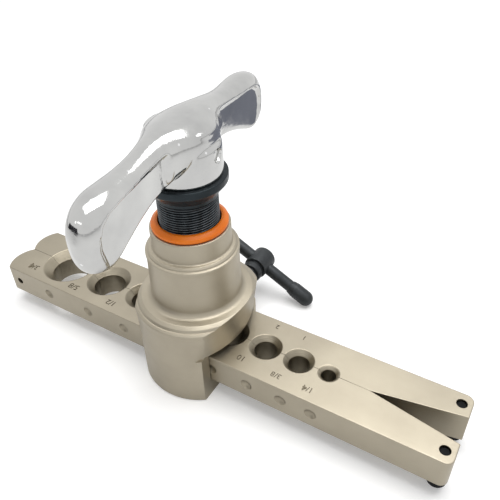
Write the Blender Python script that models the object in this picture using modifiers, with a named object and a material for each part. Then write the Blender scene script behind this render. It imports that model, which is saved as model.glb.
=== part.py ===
"""Pipe flaring tool: a split flaring bar in a slip-on yoke, with an eccentric cone on a feed screw.

Metres, +Z up. The origin is on the floor, under the middle of the bar's length and on its parting
plane. X runs along the bar, from the large holes towards the pivot notch, and +Y is the clamp's side.
"""

import math

import bmesh
import bpy
from mathutils import Matrix

MM = 0.001

# Fits
SEAT_GAP = 0.3 * MM
PARTING_GAP = 0.3 * MM
PIN_SWING_GAP = 1.0 * MM

# Flaring bar
BAR_LENGTH = 237.0 * MM
BAR_WIDTH = 35.0 * MM
BAR_HEIGHT = 15.0 * MM
BAR_UNDERSIDE = 9.0 * MM
BAR_EDGE = 0.6 * MM
BAR_CORNER = 3.5 * MM
END_BULGE = 3.4 * MM
NOTCH_LENGTH = 37.8 * MM
NOTCH_ANGLE = math.radians(10.0)

# Tube holes, each with its bore, its mouth at the top and its distance from the notch's apex
TUBE_HOLES = {
    "hole_19": (19.4 * MM, 27.6 * MM, 168.4 * MM),
    "hole_16": (15.6 * MM, 22.0 * MM, 141.4 * MM),
    "hole_13": (13.0 * MM, 18.6 * MM, 118.3 * MM),
    "hole_12": (12.0 * MM, 16.6 * MM, 84.6 * MM),
    "hole_11": (11.2 * MM, 16.3 * MM, 67.5 * MM),
    "hole_10": (10.2 * MM, 14.8 * MM, 49.4 * MM),
    "hole_9": (9.1 * MM, 13.6 * MM, 32.9 * MM),
    "hole_6": (6.2 * MM, 9.2 * MM, 18.9 * MM),
}
YOKE_HOLE = "hole_12"
DIMPLE_RADIUS = 2.9 * MM
DIMPLE_DEPTH = 0.9 * MM
PIN_HEIGHT = 7.4 * MM

# Guide pins and stop studs of the bar
GUIDE_PIN_RADIUS = 1.5 * MM
END_PIN_INSET = 9.2 * MM
END_PIN_HALF = 14.0 * MM
MID_PIN_FROM_APEX = 101.0 * MM
MID_PIN_HALF = 9.0 * MM
STUD_FROM_END = 4.3 * MM
STUD_OFFSET = 12.0 * MM
STUD_STEM = 1.9 * MM
STUD_HEAD = 4.0 * MM
STUD_HEAD_HEIGHT = 4.7 * MM
STUD_SINK = 1.0 * MM

# Yoke
BASE_RADIUS = 28.5 * MM
BASE_TOP = 40.3 * MM
SHOULDER_TOP = 44.6 * MM
DRUM_RADIUS = 20.0 * MM
DRUM_TOP = 67.4 * MM
NECK_RADIUS = 16.9 * MM
NECK_TOP = 78.9 * MM
BASE_EDGE = 1.0 * MM
DRUM_FILLET = 2.8 * MM
HOOK_HALF = 16.5 * MM
ARCH_UNDERSIDE = 27.0 * MM
ARCH_REACH = 24.8 * MM
ARCH_RADIUS = 43.0 * MM
ARCH_LEAN = math.radians(7.0)
TUBE_PASSAGE = 23.0 * MM
CHAMBER_RADIUS = 15.2 * MM
NUT_BOTTOM = 56.5 * MM
CLAMP_BOSS_RADIUS = 7.5 * MM
CLAMP_BOSS_END = 34.0 * MM

# Detent in the yoke's front wall
BALL_RADIUS = 2.0 * MM
BALL_PROUD = 0.15 * MM
DETENT_DEPTH = 9.0 * MM
DETENT_TRAVEL = 0.5 * MM
DETENT_WIRE = 0.25 * MM
DETENT_COILS = 4.5

# Clamp screw, its pad and its tommy bar
CLAMP_HEIGHT = 18.5 * MM
CLAMP_TRAVEL = 3.0 * MM
CLAMP_SHANK = 4.0 * MM
PAD_RADIUS = 5.0 * MM
PAD_THICKNESS = 2.6 * MM
PAD_SOCKET = 2.5 * MM
PAD_SOCKET_DEPTH = 1.5 * MM
CLAMP_COLLAR = 5.6 * MM
CLAMP_COLLAR_START = 45.4 * MM
CLAMP_NECK = 4.6 * MM
CLAMP_NECK_START = 48.6 * MM
CLAMP_HEAD = 6.3 * MM
CLAMP_HEAD_START = 50.4 * MM
CLAMP_HEAD_END = 62.0 * MM
TOMMY_RADIUS = 3.2 * MM
TOMMY_ANGLE = math.radians(27.0)
TOMMY_HALF = 32.0 * MM
KNOB_RADIUS = 4.1 * MM
KNOB_START = 21.0 * MM
KNOB_END = 35.3 * MM
KNOB_SPIGOT = 2.0 * MM
KNOB_SPIGOT_DEPTH = 6.0 * MM

# Feed screw, its wiper ring and its stop collar
THREAD_RADIUS = 12.5 * MM
THREAD_END = 94.1 * MM
SPINDLE_RADIUS = 8.0 * MM
SPINDLE_COVER = 7.0 * MM
HOLDER_RADIUS = 14.2 * MM
HOLDER_BOTTOM = 43.9 * MM
HOLDER_TOP = 51.4 * MM
WIPER_SEAT = 15.6 * MM
WIPER_SEAT_DEPTH = 3.6 * MM
WIPER_LIP = 16.1 * MM
WIPER_TOP = 81.9 * MM
COLLAR_WAIST = 12.9 * MM
COLLAR_RIM = 17.0 * MM
COLLAR_CONE = 98.2 * MM
COLLAR_TOP = 104.4 * MM

# Flare cone and its bearings
CONE_OFFSET = 1.2 * MM
CONE_SIDE = math.radians(206.0)
CONE_APEX = 29.5 * MM
CONE_TIP_BLUNT = 1.2 * MM
CONE_RADIUS = 12.6 * MM
CONE_ROOF_GAP = 0.4 * MM
STEM_RADIUS = 5.0 * MM
STEM_TOP = 50.6 * MM
NEEDLE_BORE = 6.8 * MM
NEEDLE_SLEEVE_BOTTOM = 46.2 * MM
NEEDLE_SLEEVE_TOP = 50.9 * MM
SNAP_BOTTOM = 44.6 * MM
SNAP_THICKNESS = 0.8 * MM
SNAP_INNER = 4.6 * MM
SNAP_OUTER = 7.2 * MM
THRUST_BALL = 2.5 * MM

# Handle
HANDLE_TURN = math.radians(6.0)
HUB_SEAT_GAP = 0.4 * MM
HUB_HEIGHT = 22.2 * MM
HUB_RADIUS = 15.0 * MM
HUB_WAIST = 13.6 * MM
HANDLE_PIN_RISE = 8.7 * MM
HANDLE_PIN_RADIUS = 2.0 * MM
HANDLE_PIN_SINK = 1.0 * MM
WEB_HALF = 4.8 * MM
ARM_LENGTH = 64.0 * MM
ARM_SECTIONS = 12
SECTION_POINTS = 18
SECTION_SQUARENESS = 0.85

# Worked out from the sizes above
BAR_TOP = BAR_UNDERSIDE + BAR_HEIGHT
APEX_X = BAR_LENGTH / 2 - NOTCH_LENGTH
YOKE_X = APEX_X - TUBE_HOLES[YOKE_HOLE][2]
SLOT_FRONT = BAR_WIDTH / 2 + SEAT_GAP
SLOT_REAR = SLOT_FRONT + CLAMP_TRAVEL
SLOT_TOP = BAR_TOP + SEAT_GAP
SLOT_BOTTOM = BAR_UNDERSIDE - SEAT_GAP
PAD_BACK = SLOT_FRONT + PAD_THICKNESS
TOMMY_Y = (CLAMP_HEAD_START + CLAMP_HEAD_END) / 2
WIPER_FLOOR = NECK_TOP - WIPER_SEAT_DEPTH
DETENT_HEIGHT = BAR_TOP - PIN_HEIGHT
BALL_Y = -(SLOT_FRONT - BALL_PROUD + BALL_RADIUS)
HUB_BOTTOM = COLLAR_TOP + HUB_SEAT_GAP
HUB_TOP = HUB_BOTTOM + HUB_HEIGHT
SPINDLE_END = HUB_TOP - SPINDLE_COVER
HANDLE_PIN_HEIGHT = HUB_BOTTOM + HANDLE_PIN_RISE

ROUND_STEPS = 40
YOKE_STEPS = 48
MID_STEPS = 32
SMALL_STEPS = 24
PIN_STEPS = 16
ARCH_STEPS = 96
ALONG_Y = Matrix.Rotation(-math.pi / 2, 4, "X")
ALONG_X = Matrix.Rotation(math.pi / 2, 4, "Y")

MATERIALS = {
    "satin_nickel": ((0.36, 0.31, 0.25, 1.0), 0.38, 1.0),
    "chrome": ((0.62, 0.62, 0.62, 1.0), 0.10, 1.0),
    "black_oxide": ((0.022, 0.026, 0.028, 1.0), 0.42, 0.6),
    "orange_plastic": ((0.85, 0.19, 0.02, 1.0), 0.45, 0.0),
    "bright_steel": ((0.55, 0.55, 0.54, 1.0), 0.18, 1.0),
}


def clear_scene():
    for obj in list(bpy.data.objects):
        bpy.data.objects.remove(obj, do_unlink=True)


def new_collection(name):
    collection = bpy.data.collections.new(name)
    bpy.context.scene.collection.children.link(collection)
    return collection


def finish_of(name):
    """The Principled material of that name, made once."""
    found = bpy.data.materials.get(name)
    if found:
        return found
    colour, roughness, metallic = MATERIALS[name]
    made = bpy.data.materials.new(name)
    made.use_nodes = True
    shader = made.node_tree.nodes["Principled BSDF"]
    shader.inputs["Base Color"].default_value = colour
    shader.inputs["Roughness"].default_value = roughness
    shader.inputs["Metallic"].default_value = metallic
    return made


def add_object(name, data, finish=None):
    """A part in the tool's collection, or a cutter where it has no finish."""
    obj = bpy.data.objects.new(name, data)
    if finish:
        TOOL.objects.link(obj)
        data.materials.append(finish_of(finish))
    else:
        CUTTERS.objects.link(obj)
        obj.hide_render = True
        obj.display_type = "WIRE"
    return obj


def place(obj, where, turn=None):
    obj.matrix_world = Matrix.Translation(where) @ (turn or Matrix.Identity(4))
    return obj


def mesh_from(name, vertices, edges=(), faces=()):
    mesh = bpy.data.meshes.new(name)
    mesh.from_pydata([tuple(v) for v in vertices], edges, faces)
    mesh.update()
    return mesh


def turned(name, profile, where, finish=None, turn=None, ring=False, steps=ROUND_STEPS):
    """A turned body. Its profile of radius and height runs from the top down the outer side."""
    last = len(profile) - 1
    edges = [(i, i + 1) for i in range(last)] + ([(last, 0)] if ring else [])
    mesh = mesh_from(name, [(radius, 0.0, height) for radius, height in profile], edges)
    obj = place(add_object(name, mesh, finish), where, turn)
    screw = obj.modifiers.new("turn", "SCREW")
    screw.axis = "Z"
    screw.angle = 2 * math.pi
    screw.steps = screw.render_steps = steps
    screw.use_merge_vertices = True
    screw.merge_threshold = 0.00001
    screw.use_smooth_shade = True
    return obj


def cylinder_cutter(name, radius, low, high, where, turn=None, steps=SMALL_STEPS):
    profile = [(0.0, high), (radius, high), (radius, low), (0.0, low)]
    return turned(name, profile, where, turn=turn, steps=steps)


def arc(centre, radius, start, end, count):
    """Points of a round stretch, its angles in degrees."""
    angles = [math.radians(start + (end - start) * i / count) for i in range(count + 1)]
    return [(centre[0] + radius * math.cos(a), centre[1] + radius * math.sin(a)) for a in angles]


def as_mesh(curve_object, name, finish=None):
    """The curve's welded mesh as a new object, in the curve's place."""
    bpy.context.view_layer.update()
    graph = bpy.context.evaluated_depsgraph_get()
    mesh = bpy.data.meshes.new_from_object(curve_object.evaluated_get(graph))
    work = bmesh.new()
    work.from_mesh(mesh)
    bmesh.ops.remove_doubles(work, verts=work.verts, dist=0.000002)
    bmesh.ops.recalc_face_normals(work, faces=work.faces)
    work.to_mesh(mesh)
    work.free()
    mesh.materials.clear()
    obj = add_object(name, mesh, finish)
    obj.matrix_world = curve_object.matrix_world
    bpy.data.objects.remove(curve_object, do_unlink=True)
    return obj


def flat_plate(name, outline, thickness, where, turn=None, finish=None):
    """An outline in its own XY plane, given thickness both ways from it."""
    curve = bpy.data.curves.new(name, "CURVE")
    curve.dimensions = "2D"
    curve.fill_mode = "BOTH"
    curve.extrude = thickness / 2
    spline = curve.splines.new("POLY")
    spline.points.add(len(outline) - 1)
    for point, (x, y) in zip(spline.points, outline):
        point.co = (x, y, 0.0, 1.0)
    spline.use_cyclic_u = True
    holder = bpy.data.objects.new(name + "_outline", curve)
    CUTTERS.objects.link(holder)
    place(holder, where, turn)
    return as_mesh(holder, name, finish)


def box_cutter(name, low, high):
    """A box from its lowest to its highest corner."""
    mesh = bpy.data.meshes.new(name)
    work = bmesh.new()
    bmesh.ops.create_cube(work, size=1.0)
    size = [h - l for l, h in zip(low, high)]
    bmesh.ops.scale(work, vec=size, verts=work.verts)
    work.to_mesh(mesh)
    work.free()
    middle = [(l + h) / 2 for l, h in zip(low, high)]
    return place(add_object(name, mesh), middle)


def combine(target, other, operation):
    step = target.modifiers.new(f"{operation.lower()}_{other.name}", "BOOLEAN")
    step.operation = operation
    step.solver = "EXACT"
    step.object = other


def cut(target, *cutters):
    for cutter in cutters:
        combine(target, cutter, "DIFFERENCE")


def join(target, *others):
    for other in others:
        combine(target, other, "UNION")


def round_edges(obj, width, segments=2):
    bevel = obj.modifiers.new("edges", "BEVEL")
    bevel.width = width
    bevel.segments = segments
    bevel.limit_method = "ANGLE"
    bevel.angle_limit = math.radians(35)


def carry(name, where, children):
    """An empty on a joint's axis that carries its moving pieces."""
    empty = bpy.data.objects.new(name, None)
    TOOL.objects.link(empty)
    empty.location = where
    empty.empty_display_size = 0.01
    bpy.context.view_layer.update()
    for child in children:
        child.parent = empty
        child.matrix_parent_inverse = empty.matrix_world.inverted()
    return empty


def bar_outline():
    """Half of the bar from above, x from the notch's apex and y outwards from the parting plane."""
    inner = PARTING_GAP / 2
    outer = BAR_WIDTH / 2
    left = NOTCH_LENGTH - BAR_LENGTH
    half_chord = (outer - inner) / 2
    radius = (half_chord**2 + END_BULGE**2) / (2 * END_BULGE)
    reach = math.degrees(math.asin(half_chord / radius))
    end = arc((left + radius, inner + half_chord), radius, 180 + reach, 180 - reach, 12)
    corner = arc((NOTCH_LENGTH - BAR_CORNER, outer - BAR_CORNER), BAR_CORNER, 90, 0, 5)
    notch = [(NOTCH_LENGTH, inner + NOTCH_LENGTH * math.tan(NOTCH_ANGLE)), (0.0, inner)]
    return end + corner + notch


def tube_hole_cutter(name, bore, mouth, distance):
    """A bore with its 45 degree mouth, run past both faces of the bar."""
    past = 1.0 * MM
    depth = (mouth - bore) / 2
    profile = [
        (0.0, BAR_TOP + past),
        (mouth / 2 + past, BAR_TOP + past),
        (bore / 2, BAR_TOP - depth),
        (bore / 2, BAR_UNDERSIDE - past),
        (0.0, BAR_UNDERSIDE - past),
    ]
    steps = max(PIN_STEPS, 2 * int(bore / MM))
    return turned(f"{name}_cut", profile, (APEX_X - distance, 0, 0), steps=steps)


def side_hole(name, x, y, radius, half_length, steps=PIN_STEPS):
    """A cutter along Y at the guide pins' height."""
    return cylinder_cutter(
        name, radius, -half_length, half_length, (x, y, BAR_TOP - PIN_HEIGHT), ALONG_Y, steps
    )


def bar_half(name, side, hole_cutters):
    """One half of the bar, side -1 in front and +1 behind, with its origin on the pivot's axis."""
    outline = [(x, side * y) for x, y in bar_outline()]
    middle = (APEX_X, 0, BAR_UNDERSIDE + BAR_HEIGHT / 2)
    half = flat_plate(name, outline, BAR_HEIGHT, middle, finish="satin_nickel")
    round_edges(half, BAR_EDGE)
    cut(half, *hole_cutters)
    pin_gap = SEAT_GAP if side < 0 else PIN_SWING_GAP
    radius = GUIDE_PIN_RADIUS + pin_gap
    end_hole = side_hole(f"{name}_end_pin_cut", end_pin_x(), 0, radius, BAR_WIDTH)
    mid_hole = side_hole(f"{name}_mid_pin_cut", mid_pin_x(), 0, radius, MID_PIN_HALF + SEAT_GAP)
    stud_hole = cylinder_cutter(
        f"{name}_stud_cut",
        STUD_STEM + SEAT_GAP,
        BAR_UNDERSIDE - 1.0 * MM,
        BAR_TOP + 1.0 * MM,
        (stud_x(), side * STUD_OFFSET, 0),
    )
    cut(half, end_hole, mid_hole, stud_hole)
    return half


def end_pin_x():
    return END_PIN_INSET - BAR_LENGTH / 2


def mid_pin_x():
    return APEX_X - MID_PIN_FROM_APEX


def stud_x():
    return BAR_LENGTH / 2 - STUD_FROM_END


def cut_dimples(half):
    """The shallow rests of the detent ball, one beside each tube hole."""
    for name, (_, _, distance) in TUBE_HOLES.items():
        dimple = side_hole(
            f"dimple_{name}_cut", APEX_X - distance, -BAR_WIDTH / 2, DIMPLE_RADIUS, DIMPLE_DEPTH
        )
        cut(half, dimple)


def guide_pin(name, x, half_length):
    edge = 0.4 * MM
    profile = [
        (0.0, half_length),
        (GUIDE_PIN_RADIUS - edge, half_length),
        (GUIDE_PIN_RADIUS, half_length - edge),
        (GUIDE_PIN_RADIUS, edge - half_length),
        (GUIDE_PIN_RADIUS - edge, -half_length),
        (0.0, -half_length),
    ]
    where = (x, 0, BAR_TOP - PIN_HEIGHT)
    return turned(name, profile, where, "bright_steel", ALONG_Y, steps=PIN_STEPS)


def stop_stud(name, side):
    """A stud with its stem up through the bar and its round head below, which stops the yoke."""
    head_top = BAR_UNDERSIDE - SEAT_GAP
    head_bottom = head_top - STUD_HEAD_HEIGHT
    edge = 0.9 * MM
    profile = [
        (0.0, BAR_TOP - STUD_SINK),
        (STUD_STEM, BAR_TOP - STUD_SINK),
        (STUD_STEM, head_top),
        (STUD_HEAD, head_top),
        (STUD_HEAD, head_bottom + edge),
        (STUD_HEAD - edge, head_bottom),
        (0.0, head_bottom),
    ]
    where = (stud_x(), side * STUD_OFFSET, 0)
    return turned(name, profile, where, "black_oxide", steps=SMALL_STEPS)


def yoke_profile():
    """From inside the slot up through the bore, over the neck and down the outside to the floor."""
    nut_radius = THREAD_RADIUS + SEAT_GAP
    chamber_floor = BAR_UNDERSIDE + BAR_HEIGHT / 2
    inside = [
        (0.0, chamber_floor),
        (CHAMBER_RADIUS, chamber_floor),
        (CHAMBER_RADIUS, NUT_BOTTOM - (CHAMBER_RADIUS - nut_radius)),
        (nut_radius, NUT_BOTTOM),
        (nut_radius, WIPER_FLOOR),
        (WIPER_SEAT, WIPER_FLOOR),
        (WIPER_SEAT, NECK_TOP),
    ]
    neck_foot = DRUM_TOP + 2.1 * MM
    neck = [
        (NECK_RADIUS - 0.5 * MM, NECK_TOP),
        (NECK_RADIUS, NECK_TOP - 0.5 * MM),
        (NECK_RADIUS, neck_foot + 0.6 * MM),
        (NECK_RADIUS + 0.5 * MM, neck_foot),
        (NECK_RADIUS + 1.7 * MM, neck_foot - 0.3 * MM),
        (NECK_RADIUS + 2.2 * MM, neck_foot - 0.9 * MM),
        (NECK_RADIUS + 2.2 * MM, neck_foot - 1.2 * MM),
        (DRUM_RADIUS - 0.4 * MM, DRUM_TOP + 0.9 * MM),
        (DRUM_RADIUS, DRUM_TOP),
    ]
    fillet = DRUM_FILLET
    drum_foot = arc((DRUM_RADIUS + fillet, SHOULDER_TOP + fillet), fillet, 180, 265, 5)
    groove = BASE_RADIUS - 1.3 * MM
    shoulder = [
        (BASE_RADIUS - 3.9 * MM, SHOULDER_TOP - 0.4 * MM),
        (BASE_RADIUS - 2.4 * MM, SHOULDER_TOP - 1.0 * MM),
        (BASE_RADIUS - 1.5 * MM, SHOULDER_TOP - 2.0 * MM),
        (groove, SHOULDER_TOP - 2.6 * MM),
        (BASE_RADIUS - 0.4 * MM, BASE_TOP + 1.0 * MM),
        (BASE_RADIUS, BASE_TOP),
        (BASE_RADIUS, BASE_EDGE),
        (BASE_RADIUS - 0.3 * BASE_EDGE, 0.3 * BASE_EDGE),
        (BASE_RADIUS - BASE_EDGE, 0.0),
        (0.0, 0.0),
    ]
    return inside + neck + drum_foot + shoulder


def side_face_cutter(name, side):
    """Takes one side of the base back to a shallow arc above the bar, which leans inwards lower down."""
    outside = ARCH_RADIUS + BASE_RADIUS
    top = SHOULDER_TOP + 1.0 * MM
    bottom = ARCH_UNDERSIDE - 1.0 * MM
    lean = (top - bottom) * math.tan(ARCH_LEAN)
    profile = [
        (ARCH_RADIUS, top),
        (outside, top),
        (outside, bottom),
        (ARCH_RADIUS - lean, bottom),
    ]
    where = (YOKE_X + side * (ARCH_REACH - ARCH_RADIUS), 0, 0)
    return turned(name, profile, where, ring=True, steps=ARCH_STEPS)


def hook_face_cutter(name, side):
    """Takes the hooks back to flat sides, under the overhang of the base."""
    near = YOKE_X + side * HOOK_HALF
    far = YOKE_X + side * (BASE_RADIUS + 2.0 * MM)
    reach = BASE_RADIUS + 2.0 * MM
    low = (min(near, far), -reach, -1.0 * MM)
    return box_cutter(name, low, (max(near, far), reach, ARCH_UNDERSIDE))


def clamp_hole_cutter():
    """The clamp screw's hole, widened beside the slot for the pad."""
    hole, pocket = CLAMP_SHANK + SEAT_GAP, PAD_RADIUS + SEAT_GAP
    outer = CLAMP_BOSS_END + 1.0 * MM
    step = PAD_BACK + CLAMP_TRAVEL + SEAT_GAP
    inner = SLOT_REAR - 1.0 * MM
    profile = [(0.0, outer), (hole, outer), (hole, step), (pocket, step), (pocket, inner), (0.0, inner)]
    return turned("clamp_hole", profile, (YOKE_X, 0, CLAMP_HEIGHT), turn=ALONG_Y, steps=MID_STEPS)


def yoke_body():
    yoke = turned("yoke_body", yoke_profile(), (YOKE_X, 0, 0), "satin_nickel", steps=YOKE_STEPS)
    past = BASE_RADIUS + 2.0 * MM
    left, right = YOKE_X - past, YOKE_X + past
    boss_profile = [
        (0.0, CLAMP_BOSS_END),
        (CLAMP_BOSS_RADIUS - 0.8 * MM, CLAMP_BOSS_END),
        (CLAMP_BOSS_RADIUS, CLAMP_BOSS_END - 0.8 * MM),
        (CLAMP_BOSS_RADIUS, SLOT_REAR + 1.0 * MM),
        (0.0, SLOT_REAR + 1.0 * MM),
    ]
    clamp_line = (YOKE_X, 0, CLAMP_HEIGHT)
    join(yoke, turned("clamp_boss", boss_profile, clamp_line, turn=ALONG_Y, steps=SMALL_STEPS))
    detent_hole = cylinder_cutter(
        "detent_hole",
        BALL_RADIUS + SEAT_GAP,
        -(SLOT_FRONT + DETENT_DEPTH),
        1.0 * MM - SLOT_FRONT,
        (YOKE_X, 0, DETENT_HEIGHT),
        ALONG_Y,
    )
    cut(yoke, detent_hole, clamp_hole_cutter())
    half_passage = TUBE_PASSAGE / 2
    slot = box_cutter("bar_slot", (left, -SLOT_FRONT, SLOT_BOTTOM), (right, SLOT_REAR, SLOT_TOP))
    passage = box_cutter(
        "tube_passage",
        (left, -half_passage, -1.0 * MM),
        (right, half_passage, SLOT_BOTTOM + 1.0 * MM),
    )
    cut(yoke, slot, passage)
    for side, word in ((-1, "left"), (1, "right")):
        cut(yoke, side_face_cutter(f"side_{word}", side), hook_face_cutter(f"hook_{word}", side))
    return yoke


def sphere(name, radius, where, finish):
    mesh = bpy.data.meshes.new(name)
    work = bmesh.new()
    bmesh.ops.create_uvsphere(work, u_segments=16, v_segments=8, radius=radius)
    work.to_mesh(mesh)
    work.free()
    mesh.shade_smooth()
    return place(add_object(name, mesh, finish), where)


def detent_spring():
    """The coil behind the detent ball, from the bore's end to the ball."""
    start = -(SLOT_FRONT + DETENT_DEPTH) + SEAT_GAP + DETENT_WIRE
    end = BALL_Y - BALL_RADIUS - DETENT_TRAVEL - SEAT_GAP - DETENT_WIRE
    coil_radius = BALL_RADIUS - DETENT_WIRE
    count = int(DETENT_COILS * 10)
    curve = bpy.data.curves.new("detent_spring", "CURVE")
    curve.dimensions = "3D"
    curve.bevel_depth = DETENT_WIRE
    curve.bevel_resolution = 1
    curve.use_fill_caps = True
    spline = curve.splines.new("POLY")
    spline.points.add(count)
    for i, point in enumerate(spline.points):
        angle = 2 * math.pi * DETENT_COILS * i / count
        y = start + (end - start) * i / count
        point.co = (coil_radius * math.cos(angle), y, coil_radius * math.sin(angle), 1.0)
    return place(add_object("detent_spring", curve, "bright_steel"), (YOKE_X, 0, DETENT_HEIGHT))


def clamp_pad():
    """The disc that the clamp screw presses against the bar's rear half."""
    edge = 0.4 * MM
    profile = [
        (PAD_SOCKET, PAD_BACK),
        (PAD_RADIUS - edge, PAD_BACK),
        (PAD_RADIUS, PAD_BACK - edge),
        (PAD_RADIUS, SLOT_FRONT + edge),
        (PAD_RADIUS - edge, SLOT_FRONT),
        (0.0, SLOT_FRONT),
        (0.0, PAD_BACK - PAD_SOCKET_DEPTH),
        (PAD_SOCKET, PAD_BACK - PAD_SOCKET_DEPTH),
    ]
    return turned(
        "clamp_pad", profile, (YOKE_X, 0, CLAMP_HEIGHT), "black_oxide", ALONG_Y, True, SMALL_STEPS
    )


def clamp_screw():
    """Nose, shank, collar, neck and the drilled head, with the axis along Y."""
    nose = PAD_SOCKET - SEAT_GAP
    shoulder = PAD_BACK + SEAT_GAP
    edge = 0.7 * MM
    profile = [
        (0.0, CLAMP_HEAD_END),
        (CLAMP_HEAD - 2 * edge, CLAMP_HEAD_END),
        (CLAMP_HEAD - edge / 2, CLAMP_HEAD_END - edge / 2),
        (CLAMP_HEAD, CLAMP_HEAD_END - 2 * edge),
        (CLAMP_HEAD, CLAMP_HEAD_START + edge / 2),
        (CLAMP_HEAD - edge / 2, CLAMP_HEAD_START),
        (CLAMP_NECK, CLAMP_HEAD_START),
        (CLAMP_NECK, CLAMP_NECK_START),
        (CLAMP_COLLAR, CLAMP_NECK_START),
        (CLAMP_COLLAR, CLAMP_COLLAR_START + edge),
        (CLAMP_COLLAR - edge, CLAMP_COLLAR_START),
        (CLAMP_SHANK, CLAMP_COLLAR_START),
        (CLAMP_SHANK, shoulder),
        (nose, shoulder),
        (nose, PAD_BACK - PAD_SOCKET_DEPTH + SEAT_GAP),
        (0.0, PAD_BACK - PAD_SOCKET_DEPTH + SEAT_GAP),
    ]
    where = (YOKE_X, 0, CLAMP_HEIGHT)
    screw = turned("clamp_screw", profile, where, "black_oxide", ALONG_Y, steps=MID_STEPS)
    cross_hole = cylinder_cutter(
        "tommy_hole",
        TOMMY_RADIUS + SEAT_GAP,
        -CLAMP_HEAD - 1.0 * MM,
        CLAMP_HEAD + 1.0 * MM,
        (YOKE_X, TOMMY_Y, CLAMP_HEIGHT),
        tommy_turn(),
    )
    cut(screw, cross_hole)
    return screw


def tommy_turn():
    """Turns Z to the tommy bar's direction, down towards +X."""
    return Matrix.Rotation(math.pi / 2 + TOMMY_ANGLE, 4, "Y")


def tommy_bar():
    """The rod, turned down to a spigot at both ends for its knobs."""
    spigot = KNOB_SPIGOT
    half = TOMMY_HALF - KNOB_SPIGOT_DEPTH
    profile = [
        (0.0, TOMMY_HALF),
        (spigot, TOMMY_HALF),
        (spigot, half),
        (TOMMY_RADIUS, half),
        (TOMMY_RADIUS, -half),
        (spigot, -half),
        (spigot, -TOMMY_HALF),
        (0.0, -TOMMY_HALF),
    ]
    where = (YOKE_X, TOMMY_Y, CLAMP_HEIGHT)
    return turned("tommy_bar", profile, where, "black_oxide", tommy_turn(), steps=SMALL_STEPS)


def tommy_knob(name, side):
    """A round-ended cap over one end of the rod."""
    bore = TOMMY_RADIUS + SEAT_GAP
    step = TOMMY_HALF - KNOB_SPIGOT_DEPTH + SEAT_GAP
    spigot_bore = KNOB_SPIGOT + SEAT_GAP
    floor = TOMMY_HALF + SEAT_GAP
    dome = KNOB_END - KNOB_RADIUS
    cap = [(KNOB_RADIUS * math.sin(a), dome + KNOB_RADIUS * math.cos(a))
           for a in (math.radians(18 * i) for i in range(6))]
    profile = cap + [
        (KNOB_RADIUS, KNOB_START + 2.0 * MM),
        (bore + 0.2 * MM, KNOB_START),
        (bore, KNOB_START),
        (bore, step),
        (spigot_bore, step),
        (spigot_bore, floor),
        (0.0, floor),
    ]
    flip = Matrix.Rotation(0 if side > 0 else math.pi, 4, "Y")
    where = (YOKE_X, TOMMY_Y, CLAMP_HEIGHT)
    return turned(name, profile, where, "black_oxide", tommy_turn() @ flip, steps=SMALL_STEPS)


def wiper_ring():
    """The ring seated in the neck, with a rounded lip over its rim."""
    bore = THREAD_RADIUS + SEAT_GAP
    plug = WIPER_SEAT - SEAT_GAP
    lip_bottom = NECK_TOP + SEAT_GAP
    profile = [
        (bore, WIPER_TOP - 0.5 * MM),
        (bore + 0.5 * MM, WIPER_TOP),
        (bore + 1.4 * MM, WIPER_TOP - 0.1 * MM),
        (WIPER_LIP - 0.7 * MM, WIPER_TOP - 0.9 * MM),
        (WIPER_LIP, WIPER_TOP - 1.6 * MM),
        (WIPER_LIP - 0.1 * MM, lip_bottom),
        (plug, lip_bottom),
        (plug, WIPER_FLOOR + SEAT_GAP),
        (bore, WIPER_FLOOR + SEAT_GAP),
    ]
    return turned("wiper_ring", profile, (YOKE_X, 0, 0), "orange_plastic", ring=True)


def feed_screw():
    """The screw, its spindle for the handle above and its bored holder for the cone below."""
    edge = 1.0 * MM
    groove = SNAP_OUTER + SEAT_GAP
    snap_top = SNAP_BOTTOM + SNAP_THICKNESS + SEAT_GAP
    ball_seat = NEEDLE_SLEEVE_TOP + SEAT_GAP
    profile = [
        (0.0, SPINDLE_END),
        (SPINDLE_RADIUS - edge, SPINDLE_END),
        (SPINDLE_RADIUS, SPINDLE_END - edge),
        (SPINDLE_RADIUS, THREAD_END),
        (THREAD_RADIUS - edge, THREAD_END),
        (THREAD_RADIUS, THREAD_END - edge),
        (THREAD_RADIUS, HOLDER_TOP),
        (HOLDER_RADIUS - edge, HOLDER_TOP),
        (HOLDER_RADIUS, HOLDER_TOP - edge),
        (HOLDER_RADIUS, HOLDER_BOTTOM + edge),
        (HOLDER_RADIUS - edge, HOLDER_BOTTOM),
    ]
    screw = turned(
        "feed_screw", profile + [(0.0, HOLDER_BOTTOM)], (YOKE_X, 0, 0), "black_oxide"
    )
    bore_profile = [
        (0.0, ball_seat + 2 * THRUST_BALL),
        (THRUST_BALL * 0.7, ball_seat + 2 * THRUST_BALL - 0.4 * MM),
        (THRUST_BALL + SEAT_GAP, ball_seat + THRUST_BALL),
        (THRUST_BALL + SEAT_GAP, ball_seat),
        (NEEDLE_BORE, ball_seat),
        (NEEDLE_BORE, snap_top),
        (groove, snap_top),
        (groove, SNAP_BOTTOM - SEAT_GAP),
        (NEEDLE_BORE, SNAP_BOTTOM - SEAT_GAP),
        (NEEDLE_BORE, HOLDER_BOTTOM - 1.0 * MM),
        (0.0, HOLDER_BOTTOM - 1.0 * MM),
    ]
    bore = turned("cone_bore", bore_profile, cone_axis(0.0), steps=MID_STEPS)
    cut(screw, bore, handle_pin_hole("spindle_pin_cut"))
    return screw


def cone_axis(height):
    """The cone's own axis, set off the screw's to the side where it stands at rest."""
    along, across = CONE_OFFSET * math.cos(CONE_SIDE), CONE_OFFSET * math.sin(CONE_SIDE)
    return (YOKE_X + along, across, height)


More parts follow.
